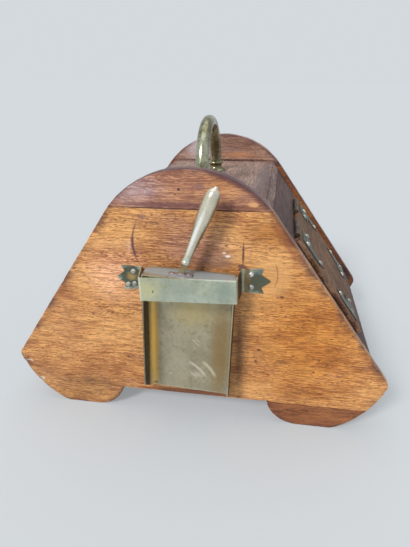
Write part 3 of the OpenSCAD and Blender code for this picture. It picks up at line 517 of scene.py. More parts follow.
NEAR_TINTS = [
    wash(-158, 150, 34, 130, (0.84, 0.80, 0.86)),                 # dull left slope
    wash(-84, 190, 54, 48, (1.32, 1.42, 2.20)),                   # painted cool highlight, a sheen on the upper left
    wash(-20, 254, 74, 15, (0.72, 0.68, 0.84), 0.8),              # handled, below the joint
    wash(4, 226, 58, 36, (0.86, 0.98, 1.85)),                     # painted shade, cooler and greyer above the strap
    wash(136, 120, 108, 126, (0.86, 0.68, 0.33), 0.95),           # warmer right half
    wash(88, 244, 42, 24, (0.60, 0.46, 0.27)),
    wash(-196, 48, 32, 26, (0.66, 0.60, 0.66), 0.8),
    wash(-128, 36, 60, 14, (0.62, 0.60, 0.58), 0.8),
    wash(-142, 18, 84, 40, (0.62, 0.60, 0.58), 0.85),
    wash(128, 46, 66, 15, (0.88, 0.84, 0.72), 0.85),
]
CAP_TINTS = [
    # painted cool sheen on the cap's left
    wash(-58, 288, 46, 26, (0.88, 1.22, 2.20)),
    wash(44, 296, 46, 24, (0.98, 0.94, 0.74)),
]
NEAR_MARKS = [
    oval(56, 104, 7, 74, (92, 52, 30), 0.60, 0.7, 0.9),           # painted shadow beside the pan
    oval(20, 207, 44, 8, (120, 84, 74), 0.55, 0.8, 0.8),          # painted shade along the top of the strap
    oval(34, 213, 24, 12, (148, 112, 102), 0.50, 0.8, 0.8),
    oval(58, 206, 7, 5, (92, 62, 72), 0.70, 0.7, 0.7),
    oval(58.6, 221, 1.7, 18, (84, 52, 50), 0.85, 0.5, 0.6),       # dark upright line
    oval(38.5, 221.5, 3.0, 1.3, (236, 220, 214), 0.90, 1.2, 0.6),  # pale scuffs
    oval(42.5, 217.5, 3.4, 1.9, (250, 240, 234), 0.95, 1.2, 0.6),
    oval(47, 213.5, 3.6, 1.0, (214, 190, 182), 0.60, 1.4, 0.7),
    oval(90, 196, 24, 28, (240, 182, 116), 0.50, 0.5, 0.4),       # ring round the ear
    oval(107, 90, 10, 4.5, (138, 84, 46), 0.75, 1.6, 0.7),        # knots
    oval(79, 104, 3.4, 2.6, (96, 52, 34), 0.80, 0.8, 0.6),
    oval(76, 88, 2.6, 2.8, (96, 52, 34), 0.70, 0.8, 0.6),
    oval(101.5, 173.5, 3.4, 1.8, (84, 48, 38), 0.85, 0.9, 0.6),
    oval(-49, 258, 8, 3.6, (132, 92, 96), 0.55, 1.4, 0.8),        # smudge where the swing ends
    oval(-67, 223, 2.6, 12, (224, 180, 162), 0.55, 1.4, 0.9),
    oval(-49, 62, 2.0, 6, (92, 54, 44), 0.70, 1.2, 0.5),
    oval(0, 34, 76, 5.2, (104, 60, 42), 0.88, 0.6, 0.5),          # soot below the shovel
    oval(0, 267.4, 130, 1.1, (74, 42, 44), 0.85, 0.3, 0.6),       # glue joint
    oval(-216, 58, 7, 1.3, (240, 234, 226), 0.90, 1.0, 0.4),      # white nicks
    oval(-202, 32, 4.4, 2.4, (232, 224, 214), 0.80, 1.2, 0.5),
]
CAP_MARKS = [
    oval(-10, 271.5, 92, 5.0, (104, 64, 70), 0.75, 0.9, 0.7),     # dark band over the joint
    oval(60, 270, 40, 4, (120, 70, 50), 0.55, 0.9, 0.7),
    oval(0, 267.4, 130, 1.2, (74, 42, 44), 0.85, 0.3, 0.6),       # glue joint
    oval(-8.5, 287.7, 1.9, 1.8, (48, 28, 34), 0.95, 0.3, 0.5),    # nail holes
    oval(-12.6, 282.5, 1.1, 1.1, (70, 40, 36), 0.90, 0.3, 0.5),
    oval(13, 291, 8, 5, (122, 92, 102), 0.60, 1.2, 0.8),
    oval(-44, 284, 1.2, 2.2, (214, 196, 196), 0.60, 1.4, 0.7),
    oval(68, 274, 7, 3, (240, 182, 122), 0.75, 0.8, 0.6),
    oval(20, 279, 30, 5, (146, 100, 80), 0.50, 0.9, 0.8),
]
FAR_FACE = -151                          # just inside the far panel's inner face


def far_oval(x, z, wide, high, tint, strength, ragged=0.9, soft=0.8):
    """A mark on the inner face of the far panel and its cap."""
    return ((x, z, FAR_FACE), (wide, high, DEEP), tint, strength, ragged, soft)


FAR_CAP_MARKS = [
    # painted pale sheen on the left of the far cap
    far_oval(-40, 300, 40, 48, (216, 204, 210), 0.80),
    far_oval(23, 278, 36, 7, (208, 142, 92), 0.60),
    far_oval(37, 294, 14, 8, (112, 70, 56), 0.55),
    far_oval(84, 276, 14, 9, (92, 86, 98), 0.85),
    far_oval(0, 269.2, 110, 1.7, (34, 22, 22), 0.90, 0.3, 0.6),
]
FAR_PANEL_MARKS = [
    far_oval(86, 266, 9, 8, (74, 60, 66), 0.90),
    far_oval(119, 221, 10, 14, (150, 88, 40), 0.50),
    far_oval(163, 163, 22, 26, (132, 64, 34), 0.60),
    far_oval(197, 112, 22, 24, (98, 50, 36), 0.75),
    far_oval(213, 88, 24, 26, (48, 30, 34), 0.95),
]

print("marks:", len(NEAR_MARKS) + len(CAP_MARKS), "near,", len(FAR_CAP_MARKS + FAR_PANEL_MARKS), "far")

# %% [markdown]
# The dark rim that hands have left follows the arch, which is part of a circle. On the
# slopes beside the lid it goes on as a straight band, and a very large circle stands in
# for a straight line. The other arcs are real ones: the shovel swings in its strap when it
# is knocked, and has rubbed a curved line into the panel on its left. A short one lies
# beside the right ear.

# %% Rims, slopes and the arcs of the swinging shovel
ARCH, ARCH_RADIUS = (0, 197.0, FACE), 112.0
SLOPE_CENTRE, SLOPE_RADIUS = (-2337.5, -1499.6, FACE), 3000
FAR_SLOPE_CENTRE, FAR_SLOPE_RADIUS = (-4728, -3313.6, FAR_FACE), 6000
SWING_CENTRE, SWING_RADIUS = (-11.9, 227.5, FACE), 50.3
FAR_RUBS = [
    (FAR_SLOPE_CENTRE, FAR_SLOPE_RADIUS, 2.6, (150, 172, FAR_FACE), (100, 130, 20), (62, 40, 36), 0.80),
]
CAP_RUBS = [
    (ARCH, ARCH_RADIUS - 1.5, 5.0, (58, 292, FACE), (44, 30, 30), (108, 64, 62), 0.80),
    (ARCH, ARCH_RADIUS, 1.9, (0, 290, FACE), (130, 60, 30), (74, 44, 50), 0.85),
]
NEAR_RUBS = [
    (SWING_CENTRE, SWING_RADIUS, 1.5, (-62, 227, FACE), (14, 38, DEEP), (104, 62, 74), 0.75),
    (SWING_CENTRE, SWING_RADIUS, 3.0, (-64, 224, FACE), (12, 17, DEEP), (96, 56, 72), 0.85),
    ((60, 198, FACE), 35.5, 1.4, (95, 198, FACE), (6, 19, DEEP), (150, 88, 56), 0.60),
    (SLOPE_CENTRE, SLOPE_RADIUS - 6, 7.0, (104, 240, FACE), (30, 44, 20), (150, 84, 46), 0.55),
    (SLOPE_CENTRE, SLOPE_RADIUS - 0.5, 4.0, (98, 252, FACE), (32, 36, 20), (112, 62, 42), 0.70),
]
print("curved rubs:", len(NEAR_RUBS) + len(CAP_RUBS) + len(FAR_RUBS))

# %% [markdown]
# Each board gets four colours: pale, golden, brown and a bruised mauve. The panels are the
# light honey that daylight and wax leave, the caps are a shade redder from handling, and
# the boards behind them are smoked: they lie above the coal and nobody polishes them. On
# the caps, the far panel, the top and the rails the rubbed edges are dark instead of pale,
# from hands and soot.
# The rails are darker still, as painted shade for the slope that faces away from the light. The near back
# foot has the near panel's stain, because its grain shows the same honey.

# %% Oak finishes of the end panels
HONEY = [(252, 188, 118), (210, 142, 82), (120, 66, 38), (188, 132, 106)]
RUSSET = [(206, 150, 108), (176, 118, 76), (104, 62, 48), (150, 100, 84)]
DARK_EDGE = screen(58, 40, 38)
RIM = screen(104, 66, 68)                # the arch's edge, dark from handling
near_panel_oak = oak_finish("near_panel_oak", 1.0, ALONG_X, HONEY, rubbed=0.9, grimy=13.0, contrast=0.88,
                            marks=NEAR_MARKS, rubs=NEAR_RUBS, tints=NEAR_TINTS, grime=0.85)
near_cap_oak = oak_finish("near_cap_oak", 4.0, ALONG_X,
                          [(224, 166, 124), (196, 136, 102), (112, 66, 60), (170, 126, 120)],
                          rubbed=0.9, grimy=10.0, marks=CAP_MARKS, rubs=CAP_RUBS, tints=CAP_TINTS,
                          bare=RIM, grime=0.9)
far_panel_oak = oak_finish("far_panel_oak", 9.0, ALONG_X,
                           [(180, 114, 58), (146, 86, 40), (84, 46, 28), (120, 78, 56)],
                           rubbed=1.2, marks=FAR_PANEL_MARKS, rubs=FAR_RUBS, bare=DARK_EDGE)
far_cap_oak = oak_finish("far_cap_oak", 13.0, ALONG_X,
                         [(200, 158, 136), (172, 132, 114), (92, 58, 50), (168, 142, 142)],
                         rubbed=0.9, marks=FAR_CAP_MARKS, bare=RIM, grime=0.9)
back_foot_oak = oak_finish("back_foot_oak", 1.0, ALONG_X, HONEY, rubbed=0.9, grimy=9.0, contrast=0.88,
                           marks=NEAR_MARKS, tints=NEAR_TINTS, grime=0.85)
front_foot_oak = oak_finish("front_foot_oak", 17.0, ALONG_X,
                            [(174, 111, 65), (145, 87, 47), (94, 52, 36), (124, 76, 58)], grimy=12.0)
far_foot_oak = oak_finish("far_foot_oak", 21.0, ALONG_X, RUSSET)

# %% Oak finishes of the boards and the lid
UNPOLISHED = dict(coat=0.03, bare=DARK_EDGE, rubbed=1.0)
SHADED_END = ((0, -70, 268), (220, 17, 20), (88, 76, 80), 0.70, 0.6, 0.9)
top_oak = oak_finish("top_oak", 25.0, ALONG_Y,
                     [(182, 154, 140), (156, 128, 116), (98, 74, 66), (150, 130, 132)],
                     grimy=14.0, marks=[SHADED_END], roughness=0.6, **UNPOLISHED)
# the rails' darker colours are painted shade, for the lid's slope that faces away from the light
rail_oak = oak_finish("rail_oak", 29.0, ACROSS_SLOPE,
                      [(110, 80, 72), (86, 61, 55), (48, 34, 34), (74, 58, 63)],
                      grimy=12.0, roughness=0.62, **UNPOLISHED)
stile_oak = oak_finish("stile_oak", 33.0, DOWN_SLOPE,
                       [(150, 106, 74), (120, 80, 52), (66, 42, 32), (108, 80, 70)],
                       roughness=0.6, coat=0.03)
lid_oak = oak_finish("lid_oak", 37.0, ACROSS_SLOPE,
                     [(142, 98, 58), (110, 73, 42), (64, 38, 24), (104, 74, 56)],
                     rubbed=1.2, roughness=0.62, coat=0.03)
back_oak = oak_finish("back_oak", 41.0, ACROSS_BACK, RUSSET)
riser_oak = oak_finish("riser_oak", 45.0, ALONG_Y,
                       [(148, 114, 102), (120, 88, 78), (70, 48, 44), (112, 88, 88)])
print("wood finishes:", [m.name for m in bpy.data.materials if m.name.endswith("_oak")])

# %% [markdown]
# ## Old brass
#
# The brass was polished once and has gone dull: greenish grey where the air got at it,
# golden where hands or coal rub, brown in the corners. The handle keeps a full metal's
# sheen. A tarnished sheet reflects less than clean metal, so the other pieces are metallic
# by 0.6 or 0.8, and the ageing is in their colour, their roughness and a fine relief. Hair
# scratches are long thin noise, thresholded, in three directions, because a hundred
# cleanings never run the same way.

# %% Node group: old brass
BRASS, words, given, result = new_group(
    "old_brass",
    [
        ("Place", "Vector", None), ("Seed", "Float", 0.0),
        ("Bright", "Color", None), ("Dull", "Color", None), ("Brown", "Color", None),
    ],
    [("Color", "Color"), ("Height", "Float"), ("Roughness", "Float")],
)
place = words.vector("MULTIPLY_ADD", given["Seed"], (53.1, 91.7, 29.3), given["Place"])
bloom = words.noise(place, (22, 30, 22), 3, 0.6)
mottle = words.noise(place, (4.5, 5.5, 4.5), 3, 0.65)
specks = words.noise(place, (1.6, 1.6, 1.6), 2)
hairs = 0.0
for angle in (0.15, 1.15, 2.3):
    brushed = words.node("Mapping", {"Vector": place, "Rotation": (0, 0, angle)}).outputs[0]
    hair = words.rise(words.noise(brushed, (34, 0.36, 12), 1), 0.66, 0.74)
    hairs = words.math("MAXIMUM", hairs, hair)
tone = words.mix(words.rise(bloom, 0.36, 0.64), given["Dull"], given["Bright"])
tone = words.mix(words.rise(mottle, 0.5, 0.72, 0.0, 0.5), tone, given["Brown"])
tone = words.mix(words.rise(specks, 0.68, 0.78, 0.0, 0.7), tone, screen(58, 44, 28))
tone = words.mix(words.math("MULTIPLY", hairs, 0.35), tone, screen(236, 228, 196))
words.feed(result["Color"], tone)
words.feed(result["Height"], words.add((bloom, 1.0), (mottle, 0.5), (specks, 0.12), (hairs, -0.12)))
words.feed(result["Roughness"], words.add((mottle, 0.22), (bloom, -0.14), (hairs, -0.06), 0.0))
print("old brass:", len(BRASS.nodes), "nodes")

# %% Recipe for brass and iron
TARNISH_DEPTH = 0.25 * MM


def metal_finish(name, seed, bright, dull, brown, roughness, turn=ALONG_X, relief=0.5,
                 marks=(), rubs=(), metallic=0.8, tarnish=()):
    """Aged metal with bloom, specks, hair scratches and its own marks, some of them painted shade and
    highlights; the tarnish list takes the sheen away, also where shade is painted.
    """
    material, words = new_material(name)
    place = place_in_mm(words, turn)
    metal = words.group(BRASS, Place=place, Seed=seed,
                        Bright=screen(*bright), Dull=screen(*dull), Brown=screen(*brown))
    colour = lay_marks(words, place, metal["Color"], marks)
    colour = lay_rubs(words, place, colour, rubs)
    rough = words.math("ADD", metal["Roughness"], roughness)
    bump = words.node("Bump", {"Height": metal["Height"], "Strength": relief, "Distance": TARNISH_DEPTH})
    for centre, size, share in tarnish:
        dull_part = words.group(STAIN_AND_PAINTED_LIGHT, Place=place, Centre=centre, Size=size, Ragged=0.3, Soft=0.5)
        metallic = words.math("SUBTRACT", metallic, words.math("MULTIPLY", dull_part[0], share))
    skin = words.node("BsdfPrincipled", {
        "Base Color": colour, "Metallic": metallic, "Roughness": rough, "Normal": bump.outputs[0],
    })
    words.node("OutputMaterial", {"Surface": skin.outputs[0]})
    return material


# %% [markdown]
# The plain metal pieces come first. The side of the handle that is turned to the lid, away from the light,
# is painted brown as shade, and small pits have opened in its near leg. Mounts and hinges were never
# polished, so they are nearly black, while the studs on them and the strap's screws shine.

# %% Brass and iron of the box
HANDLE_MARKS = [
    ((9.5, 310, 0), (6.0, 90, 90), (60, 42, 26), 0.80, 0.4, 0.6),  # painted shade on the side away from the light
    ((1.2, 306.5, 50), (1.5, 1.5, 6), (44, 38, 26), 0.90, 0.9, 0.5),  # pits
    ((4.3, 313, 50), (1.0, 1.1, 6), (44, 38, 26), 0.85, 0.9, 0.5),
    ((-0.3, 304, 50), (1.0, 1.2, 6), (44, 38, 26), 0.85, 0.9, 0.5),
]
handle_brass = metal_finish("handle_brass", 2.0, (180, 181, 156), (120, 116, 88), (70, 54, 32), 0.20,
                            marks=HANDLE_MARKS, metallic=1.0)
mount_brass = metal_finish("mount_brass", 14.0, (70, 76, 66), (50, 54, 48), (50, 38, 28), 0.42)
stud_brass = metal_finish("stud_brass", 16.0, (216, 216, 206), (128, 124, 112), (64, 50, 38), 0.20)
hinge_brass = metal_finish("hinge_brass", 17.0, (92, 78, 64), (66, 54, 46), (48, 34, 26), 0.50)
screw_brass = metal_finish("screw_brass", 20.0, (226, 226, 222), (186, 186, 180), (110, 98, 74), 0.26)
TANG_FOOT_MARK = ((-4, 203.2, 157.15), (24, 2.6, 9), (168, 162, 172), 0.85, 0.4, 0.3)
tang_brass = metal_finish("tang_brass", 29.0, (150, 134, 98), (118, 102, 72), (84, 66, 42), 0.34,
                          marks=[TANG_FOOT_MARK], metallic=0.6)
liner_iron = metal_finish("liner_iron", 23.0, (74, 70, 66), (52, 48, 46), (92, 56, 36), 0.55)
plain_iron = metal_finish("plain_iron", 26.0, (96, 94, 92), (70, 68, 66), (86, 56, 40), 0.45)
print("plain metals:", [m.name for m in bpy.data.materials if "brass" in m.name or "iron" in m.name])

# %% [markdown]
# The strap, the pan and the cast handle are the brass that everyone touches, so their tarnish has places:
# grey-green on the strap's front and yellow at its left end, gold along the pan's bend, and curved pale
# scratches where the shovel has been pushed under the coal. Some marks are painted light instead:
# near-black painted shade inside the pan's left wall and outside its right wall, a painted yellow
# reflection on the pan below the strap, painted shade on the strap's right leg and a painted highlight on
# the grip. Each mark is placed one by one, in millimetres, as the marks on the oak were.

# %% Marks on the strap
STRAP_FRONT = outer_face("strap_holder")
EAR = 137.5                              # depth of the strap's ears


def spot(x, z, depth, wide, high, deep, tint, strength, ragged=0.5, soft=0.7):
    """A mark on the shovel or its strap, with its own depth towards the shovel's end."""
    return ((x, z, depth), (wide, high, deep), tint, strength, ragged, soft)


STRAP_MARKS = [
    spot(-66, 188, EAR, 17, 18, 4, (68, 72, 58), 0.88, 0.8, 0.4),                 # dark ears
    spot(78, 190, EAR, 17, 18, 4, (74, 76, 58), 0.88, 0.8, 0.4),
    spot(-40, 188, STRAP_FRONT, 24, 20, 4, (214, 206, 152), 0.60, 0.9, 0.9),      # yellow end
    spot(6, 180, STRAP_FRONT, 40, 9, 4, (178, 190, 180), 0.50, 1.0, 0.9),
    spot(42, 192, STRAP_FRONT, 20, 20, 4, (140, 156, 146), 0.70, 0.8, 0.9),       # grey-green
    spot(-33.4, 185.3, STRAP_FRONT, 1.0, 2.0, 4, (78, 70, 54), 0.80, 0.9, 0.6),
    spot(20, 203.2, STRAP_FRONT, 100, 1.3, 4, (236, 240, 226), 0.75, 0.8, 0.6),   # bright edges
    spot(-47, 188, STRAP_FRONT, 1.2, 30, 4, (232, 232, 210), 0.70, 0.8, 0.6),
    spot(57, 190, 151, 3.4, 34, 14, (70, 46, 20), 0.95, 0.4, 0.4),                # painted shade on the right leg and on the ear beside it
    spot(63.5, 190, 137, 5.0, 34, 4, (126, 98, 56), 0.85, 0.6, 0.6),
    spot(-66, 188, EAR, 8, 7, 4, (196, 162, 98), 0.75, 1.2, 0.8),                 # stains on the ears
    spot(70, 176, EAR, 8, 4, 4, (120, 146, 146), 0.60, 1.2, 0.8),
    spot(78, 201, EAR, 8, 3, 4, (120, 146, 146), 0.60, 1.2, 0.8),
]
strap_brass = metal_finish("strap_brass", 5.0, (192, 198, 176), (168, 176, 160), (150, 148, 112), 0.42,
                           marks=STRAP_MARKS, metallic=0.6)
print("marks on the strap:", len(STRAP_MARKS))

# %% Marks on the pan, read with its slight tilt taken out, so that its walls are upright
HANG_TILT = 2.6                          # the shovel hangs this many degrees out of plumb
PAN_UPRIGHT = (-QUARTER, 0, math.radians(HANG_TILT))
PAN_SHEET = 1.2                          # thickness of the pan
PAN_FLOOR = round(-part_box("shovel_pan")[1].y / MM, 2) + PAN_SHEET
PAN_MARKS = [
    # painted yellow reflection on the pan below the strap
    spot(-2, 152, PAN_FLOOR, 40, 34, 5, (206, 184, 122), 0.55, 0.9, 0.9),
    spot(31, 100, PAN_FLOOR, 20, 110, 5, (154, 124, 74), 0.80, 0.5, 0.9),         # brown right side
    spot(-24, 70, PAN_FLOOR, 20, 50, 5, (186, 180, 156), 0.50, 1.2, 0.9),
    spot(-37, 168, PAN_FLOOR, 10, 16, 6, (252, 240, 186), 0.95, 0.6, 0.9),
    spot(-48.5, 105, 141.5, 8.0, 140, 8.5, (244, 192, 84), 0.92, 0.3, 0.9),       # gold bend
    spot(-47, 45.5, 141, 4, 3, 6, (84, 72, 80), 0.70, 1.2, 0.8),
    spot(-54, 115, 155, 3.6, 150, 12.5, (46, 30, 14), 0.97, 0.3, 0.35),           # painted shade inside the left wall and outside the right wall
    spot(43.6, 115, 151, 1.6, 150, 12.8, (40, 28, 18), 0.97, 0.2, 0.3),
    spot(4.4, 65, PAN_FLOOR, 8, 5, 3, (220, 214, 196), 0.50, 1.8, 0.9),           # scuffs
    spot(1.8, 112, PAN_FLOOR, 6, 0.8, 3, (214, 206, 178), 0.60, 1.2, 0.6),
    spot(-28, 61.5, PAN_FLOOR, 3.4, 1.0, 3, (222, 214, 190), 0.60, 1.8, 0.7),
    spot(39.4, 49.5, PAN_FLOOR, 3.4, 2.4, 3, (120, 146, 160), 0.80, 0.9, 0.6),
    spot(-5, 201.6, 152, 80, 3, 13.4, (160, 172, 176), 0.92, 0.4, 0.4),           # dull upper end
    spot(-5, 41.5, 150, 80, 1.4, 20, (222, 222, 206), 0.85, 0.6, 0.6),            # bright lip
]
PAN_RUBS = [
    ((-25.0, 40.0, PAN_FLOOR), 45.5, 2.6, (7, 74, PAN_FLOOR), (20, 15, 4), (226, 220, 196), 0.80),
    ((-19.0, 44.0, PAN_FLOOR), 49.5, 3.4, (19, 76, PAN_FLOOR), (14, 18, 4), (222, 212, 184), 0.80),
    ((-27.0, 38.0, PAN_FLOOR), 37.0, 2.2, (4, 66, PAN_FLOOR), (12, 9, 4), (222, 214, 192), 0.50),
    ((34.0, 141.0, PAN_FLOOR), 46.0, 0.6, (-1, 108, PAN_FLOOR), (10, 6, 4), (236, 230, 210), 0.85),
    ((37.0, 145.0, PAN_FLOOR), 46.0, 0.4, (3, 112, PAN_FLOOR), (10, 5, 4), (226, 218, 196), 0.70),
]
# the dull upper end, and less sheen on the left wall so that its painted shade stays dark
PAN_TARNISH_AND_SHADE = [((-5, 201.6, 152), (80, 4, 13.4), 0.5), ((-54, 115, 155), (4, 150, 13), 0.35)]
pan_brass = metal_finish("pan_brass", 8.0, (178, 170, 144), (160, 153, 128), (138, 121, 82), 0.38,
                         turn=PAN_UPRIGHT, marks=PAN_MARKS, rubs=PAN_RUBS, metallic=0.6,
                         tarnish=PAN_TARNISH_AND_SHADE)
print("marks on the pan:", len(PAN_MARKS) + len(PAN_RUBS))

# %% Marks on the grip, read with its lean taken out
GRIP_LEAN = 19.5                         # the grip leans by this many degrees more than the pan
GRIP_UPRIGHT = (-QUARTER, 0, math.radians(HANG_TILT + GRIP_LEAN))
GRIP_LINE = -80.5                        # where its middle line then stands
GRIP_MARKS = [
    spot(GRIP_LINE, 281, 162, 7, 8, 14, (210, 202, 194), 0.60, 0.9, 0.8),
    spot(-71.8, 262, 158, 5.2, 46, 20, (124, 110, 80), 0.90, 0.4, 0.8),           # shaded sides
    spot(-74.8, 226, 158, 3.8, 34, 20, (116, 104, 76), 0.90, 0.4, 0.8),
    spot(-90.0, 262, 158, 4.2, 44, 20, (122, 112, 82), 0.85, 0.4, 0.8),
    spot(-86.6, 226, 158, 3.2, 34, 20, (112, 108, 82), 0.85, 0.4, 0.8),
    spot(-82.2, 238, 164, 3.0, 44, 16, (255, 255, 250), 1.0, 0.5, 0.8),           # painted highlight along the ridge
    spot(GRIP_LINE, 206, 162, 6, 4, 14, (196, 214, 204), 0.70, 0.7, 0.7),
]
grip_brass = metal_finish("grip_brass", 11.0, (224, 219, 199), (203, 196, 173), (174, 164, 138), 0.24,
                          turn=GRIP_UPRIGHT, relief=0.2, marks=GRIP_MARKS, metallic=0.6)
print("metal finishes:", [m.name for m in bpy.data.materials if "brass" in m.name or "iron" in m.name])

# %% [markdown]
# ## From a solid to a worn piece
#
# The frame's solids have the right size and place but knife-sharp edges, which no hand tool leaves and
# which catch no light. Most wooden pieces are simple convex blocks, so the convex hull of the solid's own
# corners gives a clean block with large flat faces (and drops the dowel and screw holes that nobody sees).
# Its arrises are bevelled, the faces are cut into small cells, and each point is then pushed a fraction of
# a millimetre into the wood by smooth noise: nothing old is flat, and reflections show it. Points only
# ever move inwards, so the piece stays within its true size. Some of the helpers below are tried on one
# sample block, to show what they do.

# %% From a solid to a clean block
SAME_POINT = 0.002 * MM                  # corners closer than this are one corner


def join_flats(bm, angle=0.35):
    """Joins the triangles that lie in one plane."""
    bmesh.ops.dissolve_limit(bm, angle_limit=math.radians(angle), use_dissolve_boundaries=False,
                             verts=bm.verts[:], edges=bm.edges[:], delimit={"NORMAL"})


def copy_of(name):
    """A copy of one of the frame's solids, with its loose triangles joined."""
    bm = bmesh.new()
    bm.from_mesh(NODES[name].data)
    bmesh.ops.remove_doubles(bm, verts=bm.verts[:], dist=SAME_POINT)
    join_flats(bm)
    return bm


def hull_of(name):
    """The convex block round one of the frame's solids."""
    bm = copy_of(name)
    bmesh.ops.delete(bm, geom=bm.edges[:], context="EDGES_FACES")
    bmesh.ops.convex_hull(bm, input=bm.verts[:])
    inside = [v for v in bm.verts if not v.link_faces]
    bmesh.ops.delete(bm, geom=inside, context="VERTS")
    join_flats(bm)
    bmesh.ops.recalc_face_normals(bm, faces=bm.faces[:])
    return bm


sample = hull_of("near_cap")
print("the near cap as a clean block:", len(sample.faces), "faces")

# %% Edges, and how they are broken
def sharp_edges(bm, wanted=None, angle=30):
    """Edges that turn by more than the angle, and that are wanted."""
    found = [e for e in bm.edges if len(e.link_faces) == 2 and e.calc_face_angle(0) > math.radians(angle)]
    return [e for e in found if wanted is None or wanted(e)]


def points_along(edges, step=1.5 * MM):
    """Points along the edges, no further apart than the step."""
    points = []
    for edge in edges:
        start, end = (v.co.copy() for v in edge.verts)
        count = max(1, math.ceil((end - start).length / step))
        points += [start.lerp(end, k / count) for k in range(count + 1)]
    return points


def break_edges(bm, edges, width, segments=3):
    """Rounds the edges off."""
    bmesh.ops.bevel(bm, geom=edges, offset=width, segments=segments, profile=0.5,
                    affect="EDGES", clamp_overlap=True, material=-1)


def longer_than(length):
    """A test for edges that are longer than this."""
    return lambda edge: edge.calc_length() > length


sample_arrises = points_along(sharp_edges(sample))
print("its sharp edges:", len(sharp_edges(sample)), "and points along them:", len(sample_arrises))

# %% Small cells, for wear to act on
def spanned(face, axis, level):
    """Whether the plane at this level along the axis meets the face."""
    sides = [v.co @ axis - level for v in face.verts]
    return min(sides) <= 0 <= max(sides)


def slice_up(bm, step, axes):
    """Cuts the faces along evenly spaced planes across each axis."""
    for axis in axes:
        axis = Vector(axis).normalized()
        reach = [v.co @ axis for v in bm.verts]
        low, high = min(reach), max(reach)
        count = math.ceil((high - low) / step)
        for k in range(1, count):
            cut = axis * (low + (high - low) * k / count)
            near = [f for f in bm.faces if spanned(f, axis, cut @ axis)]
            edges = {e for f in near for e in f.edges}
            verts = {v for e in edges for v in e.verts}
            bmesh.ops.bisect_plane(bm, geom=list(verts) + list(edges) + near, dist=0.001 * MM,
                                   plane_co=cut, plane_no=axis)


slice_up(sample, 6 * MM, [(1, 0, 0)])
print("the sample in slices of 6 mm:", len(sample.faces), "faces")

# %% Wear
KNOCKS_REACH = 3.5                       # knocks spread this far from an arris, in mm
WAVES, DENTS, CRUMBLE = 31, 6.5, 2.2     # sizes of the hollows, the knocks and a chip's floor, in mm
NO_ARRIS = [Vector((0, 0, 9))]           # far above the box, for pieces without an arris


def note_distance(bm, points=NO_ARRIS):
    """Stores how far each vertex is from the points along the arrises, in millimetres."""
    layer = bm.verts.layers.float.new("edge_mm")
    tree = kdtree.KDTree(len(points))
    for index, point in enumerate(points):
        tree.insert(point, index)
    tree.balance()
    for v in bm.verts:
        v[layer] = tree.find(v.co)[2] / MM
    return layer


def weather(bm, layer, hollow=0.22, knocks=0.5, chips=()):
    """Pushes the surface inwards: gently on the faces, in knocks along the arrises, deep in chips."""
    bm.normal_update()
    moves = []
    for v in bm.verts:
        here = v.co / MM
        depth = hollow * (0.5 + 0.5 * noise.noise(here / WAVES))
        near = max(0.0, 1 - v[layer] / KNOCKS_REACH)
        depth += knocks * near * max(0.0, noise.noise(here / DENTS) + 0.25)
        for centre, radius, bite in chips:
            share = (here - Vector(centre)).length / radius
            if share < 1:
                depth += bite * (1 - share * share) ** 2 * (0.75 + 0.5 * noise.noise(here / CRUMBLE))
        moves.append((v, v.normal * (-depth * MM)))
    for v, move in moves:
        v.co += move


layer = note_distance(sample, sample_arrises)
print("farthest from an arris:", round(max(v[layer] for v in sample.verts), 1), "mm")
sample.free()

# %% Finishing a piece
CREASE = math.radians(32)                # edges that turn by less than this are shaded as round


def finish_piece(bm, name, material, body, node):
    """Turns the mesh into a piece of the box that stands in for one solid of the frame."""
    bm.normal_update()
    for face in bm.faces:
        face.smooth = True
    for edge in bm.edges:
        edge.smooth = edge.calc_face_angle(0.0) < CREASE
    gaps = sum(1 for e in bm.edges if len(e.link_faces) != 2)
    mesh = bpy.data.meshes.new(name)
    bm.to_mesh(mesh)
    bm.free()
    mesh.materials.append(material)
    piece = bpy.data.objects.new(name, mesh)
    SCENE.collection.objects.link(piece)
    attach(piece, body)
    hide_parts(node)
    print(f"{name}: {len(mesh.polygons)} faces, {gaps} open edges")


# %% [markdown]
# ## End panels, caps and feet
#
# Each end is four boards glued along two straight joints: the cap on top, the panel, and
# two feet below. The joints stay tight but show as fine dark lines, so the edges along
# them are only just broken, while the outer arrises are rounded by a full millimetre.
# The near panel has a few real chips: at its left point, below it, at the foot and along
# the worn slope beside the lid.

# %% Wooden blocks
UP, ALONG, CROSS = (0, 0, 1), (0, 1, 0), (1, 0, 0)      # along and across the box
CELL = 6 * MM
THROUGH_CELL = 5 * MM                    # cells through a panel's thickness
TIGHT = 0.35 * MM                        # an edge at a glue line is broken by this little


def oak_block(node, material, joints=(), axes=(CROSS, UP), arris=1.1 * MM, chips=(), cell=CELL):
    """A worn block of oak in place of a convex solid; joints are the heights of its glue lines."""
    bm = hull_of(node)

    def at_joint(edge):
        return any(all(abs(v.co.z - level) < 0.02 * MM for v in edge.verts) for level in joints)

    def off_joint(edge):
        middle = (edge.verts[0].co + edge.verts[1].co) / 2
        return all(abs(middle.z - level) >= 0.5 * MM for level in joints)

    points = points_along(sharp_edges(bm, lambda e: not at_joint(e)))
    break_edges(bm, sharp_edges(bm, at_joint), TIGHT, 2)
    break_edges(bm, sharp_edges(bm, off_joint, 50), arris)
    slice_up(bm, cell, axes)
    if ALONG not in axes:
        slice_up(bm, THROUGH_CELL, [ALONG])
    layer = note_distance(bm, points)
    weather(bm, layer, chips=chips)
    finish_piece(bm, "oak_" + node, material, "carcass", node)


CAP_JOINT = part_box("near_cap")[0].z
FOOT_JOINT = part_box("near_panel")[0].z
print("glue lines at", round(CAP_JOINT / MM, 2), "and", round(FOOT_JOINT / MM, 2), "mm")

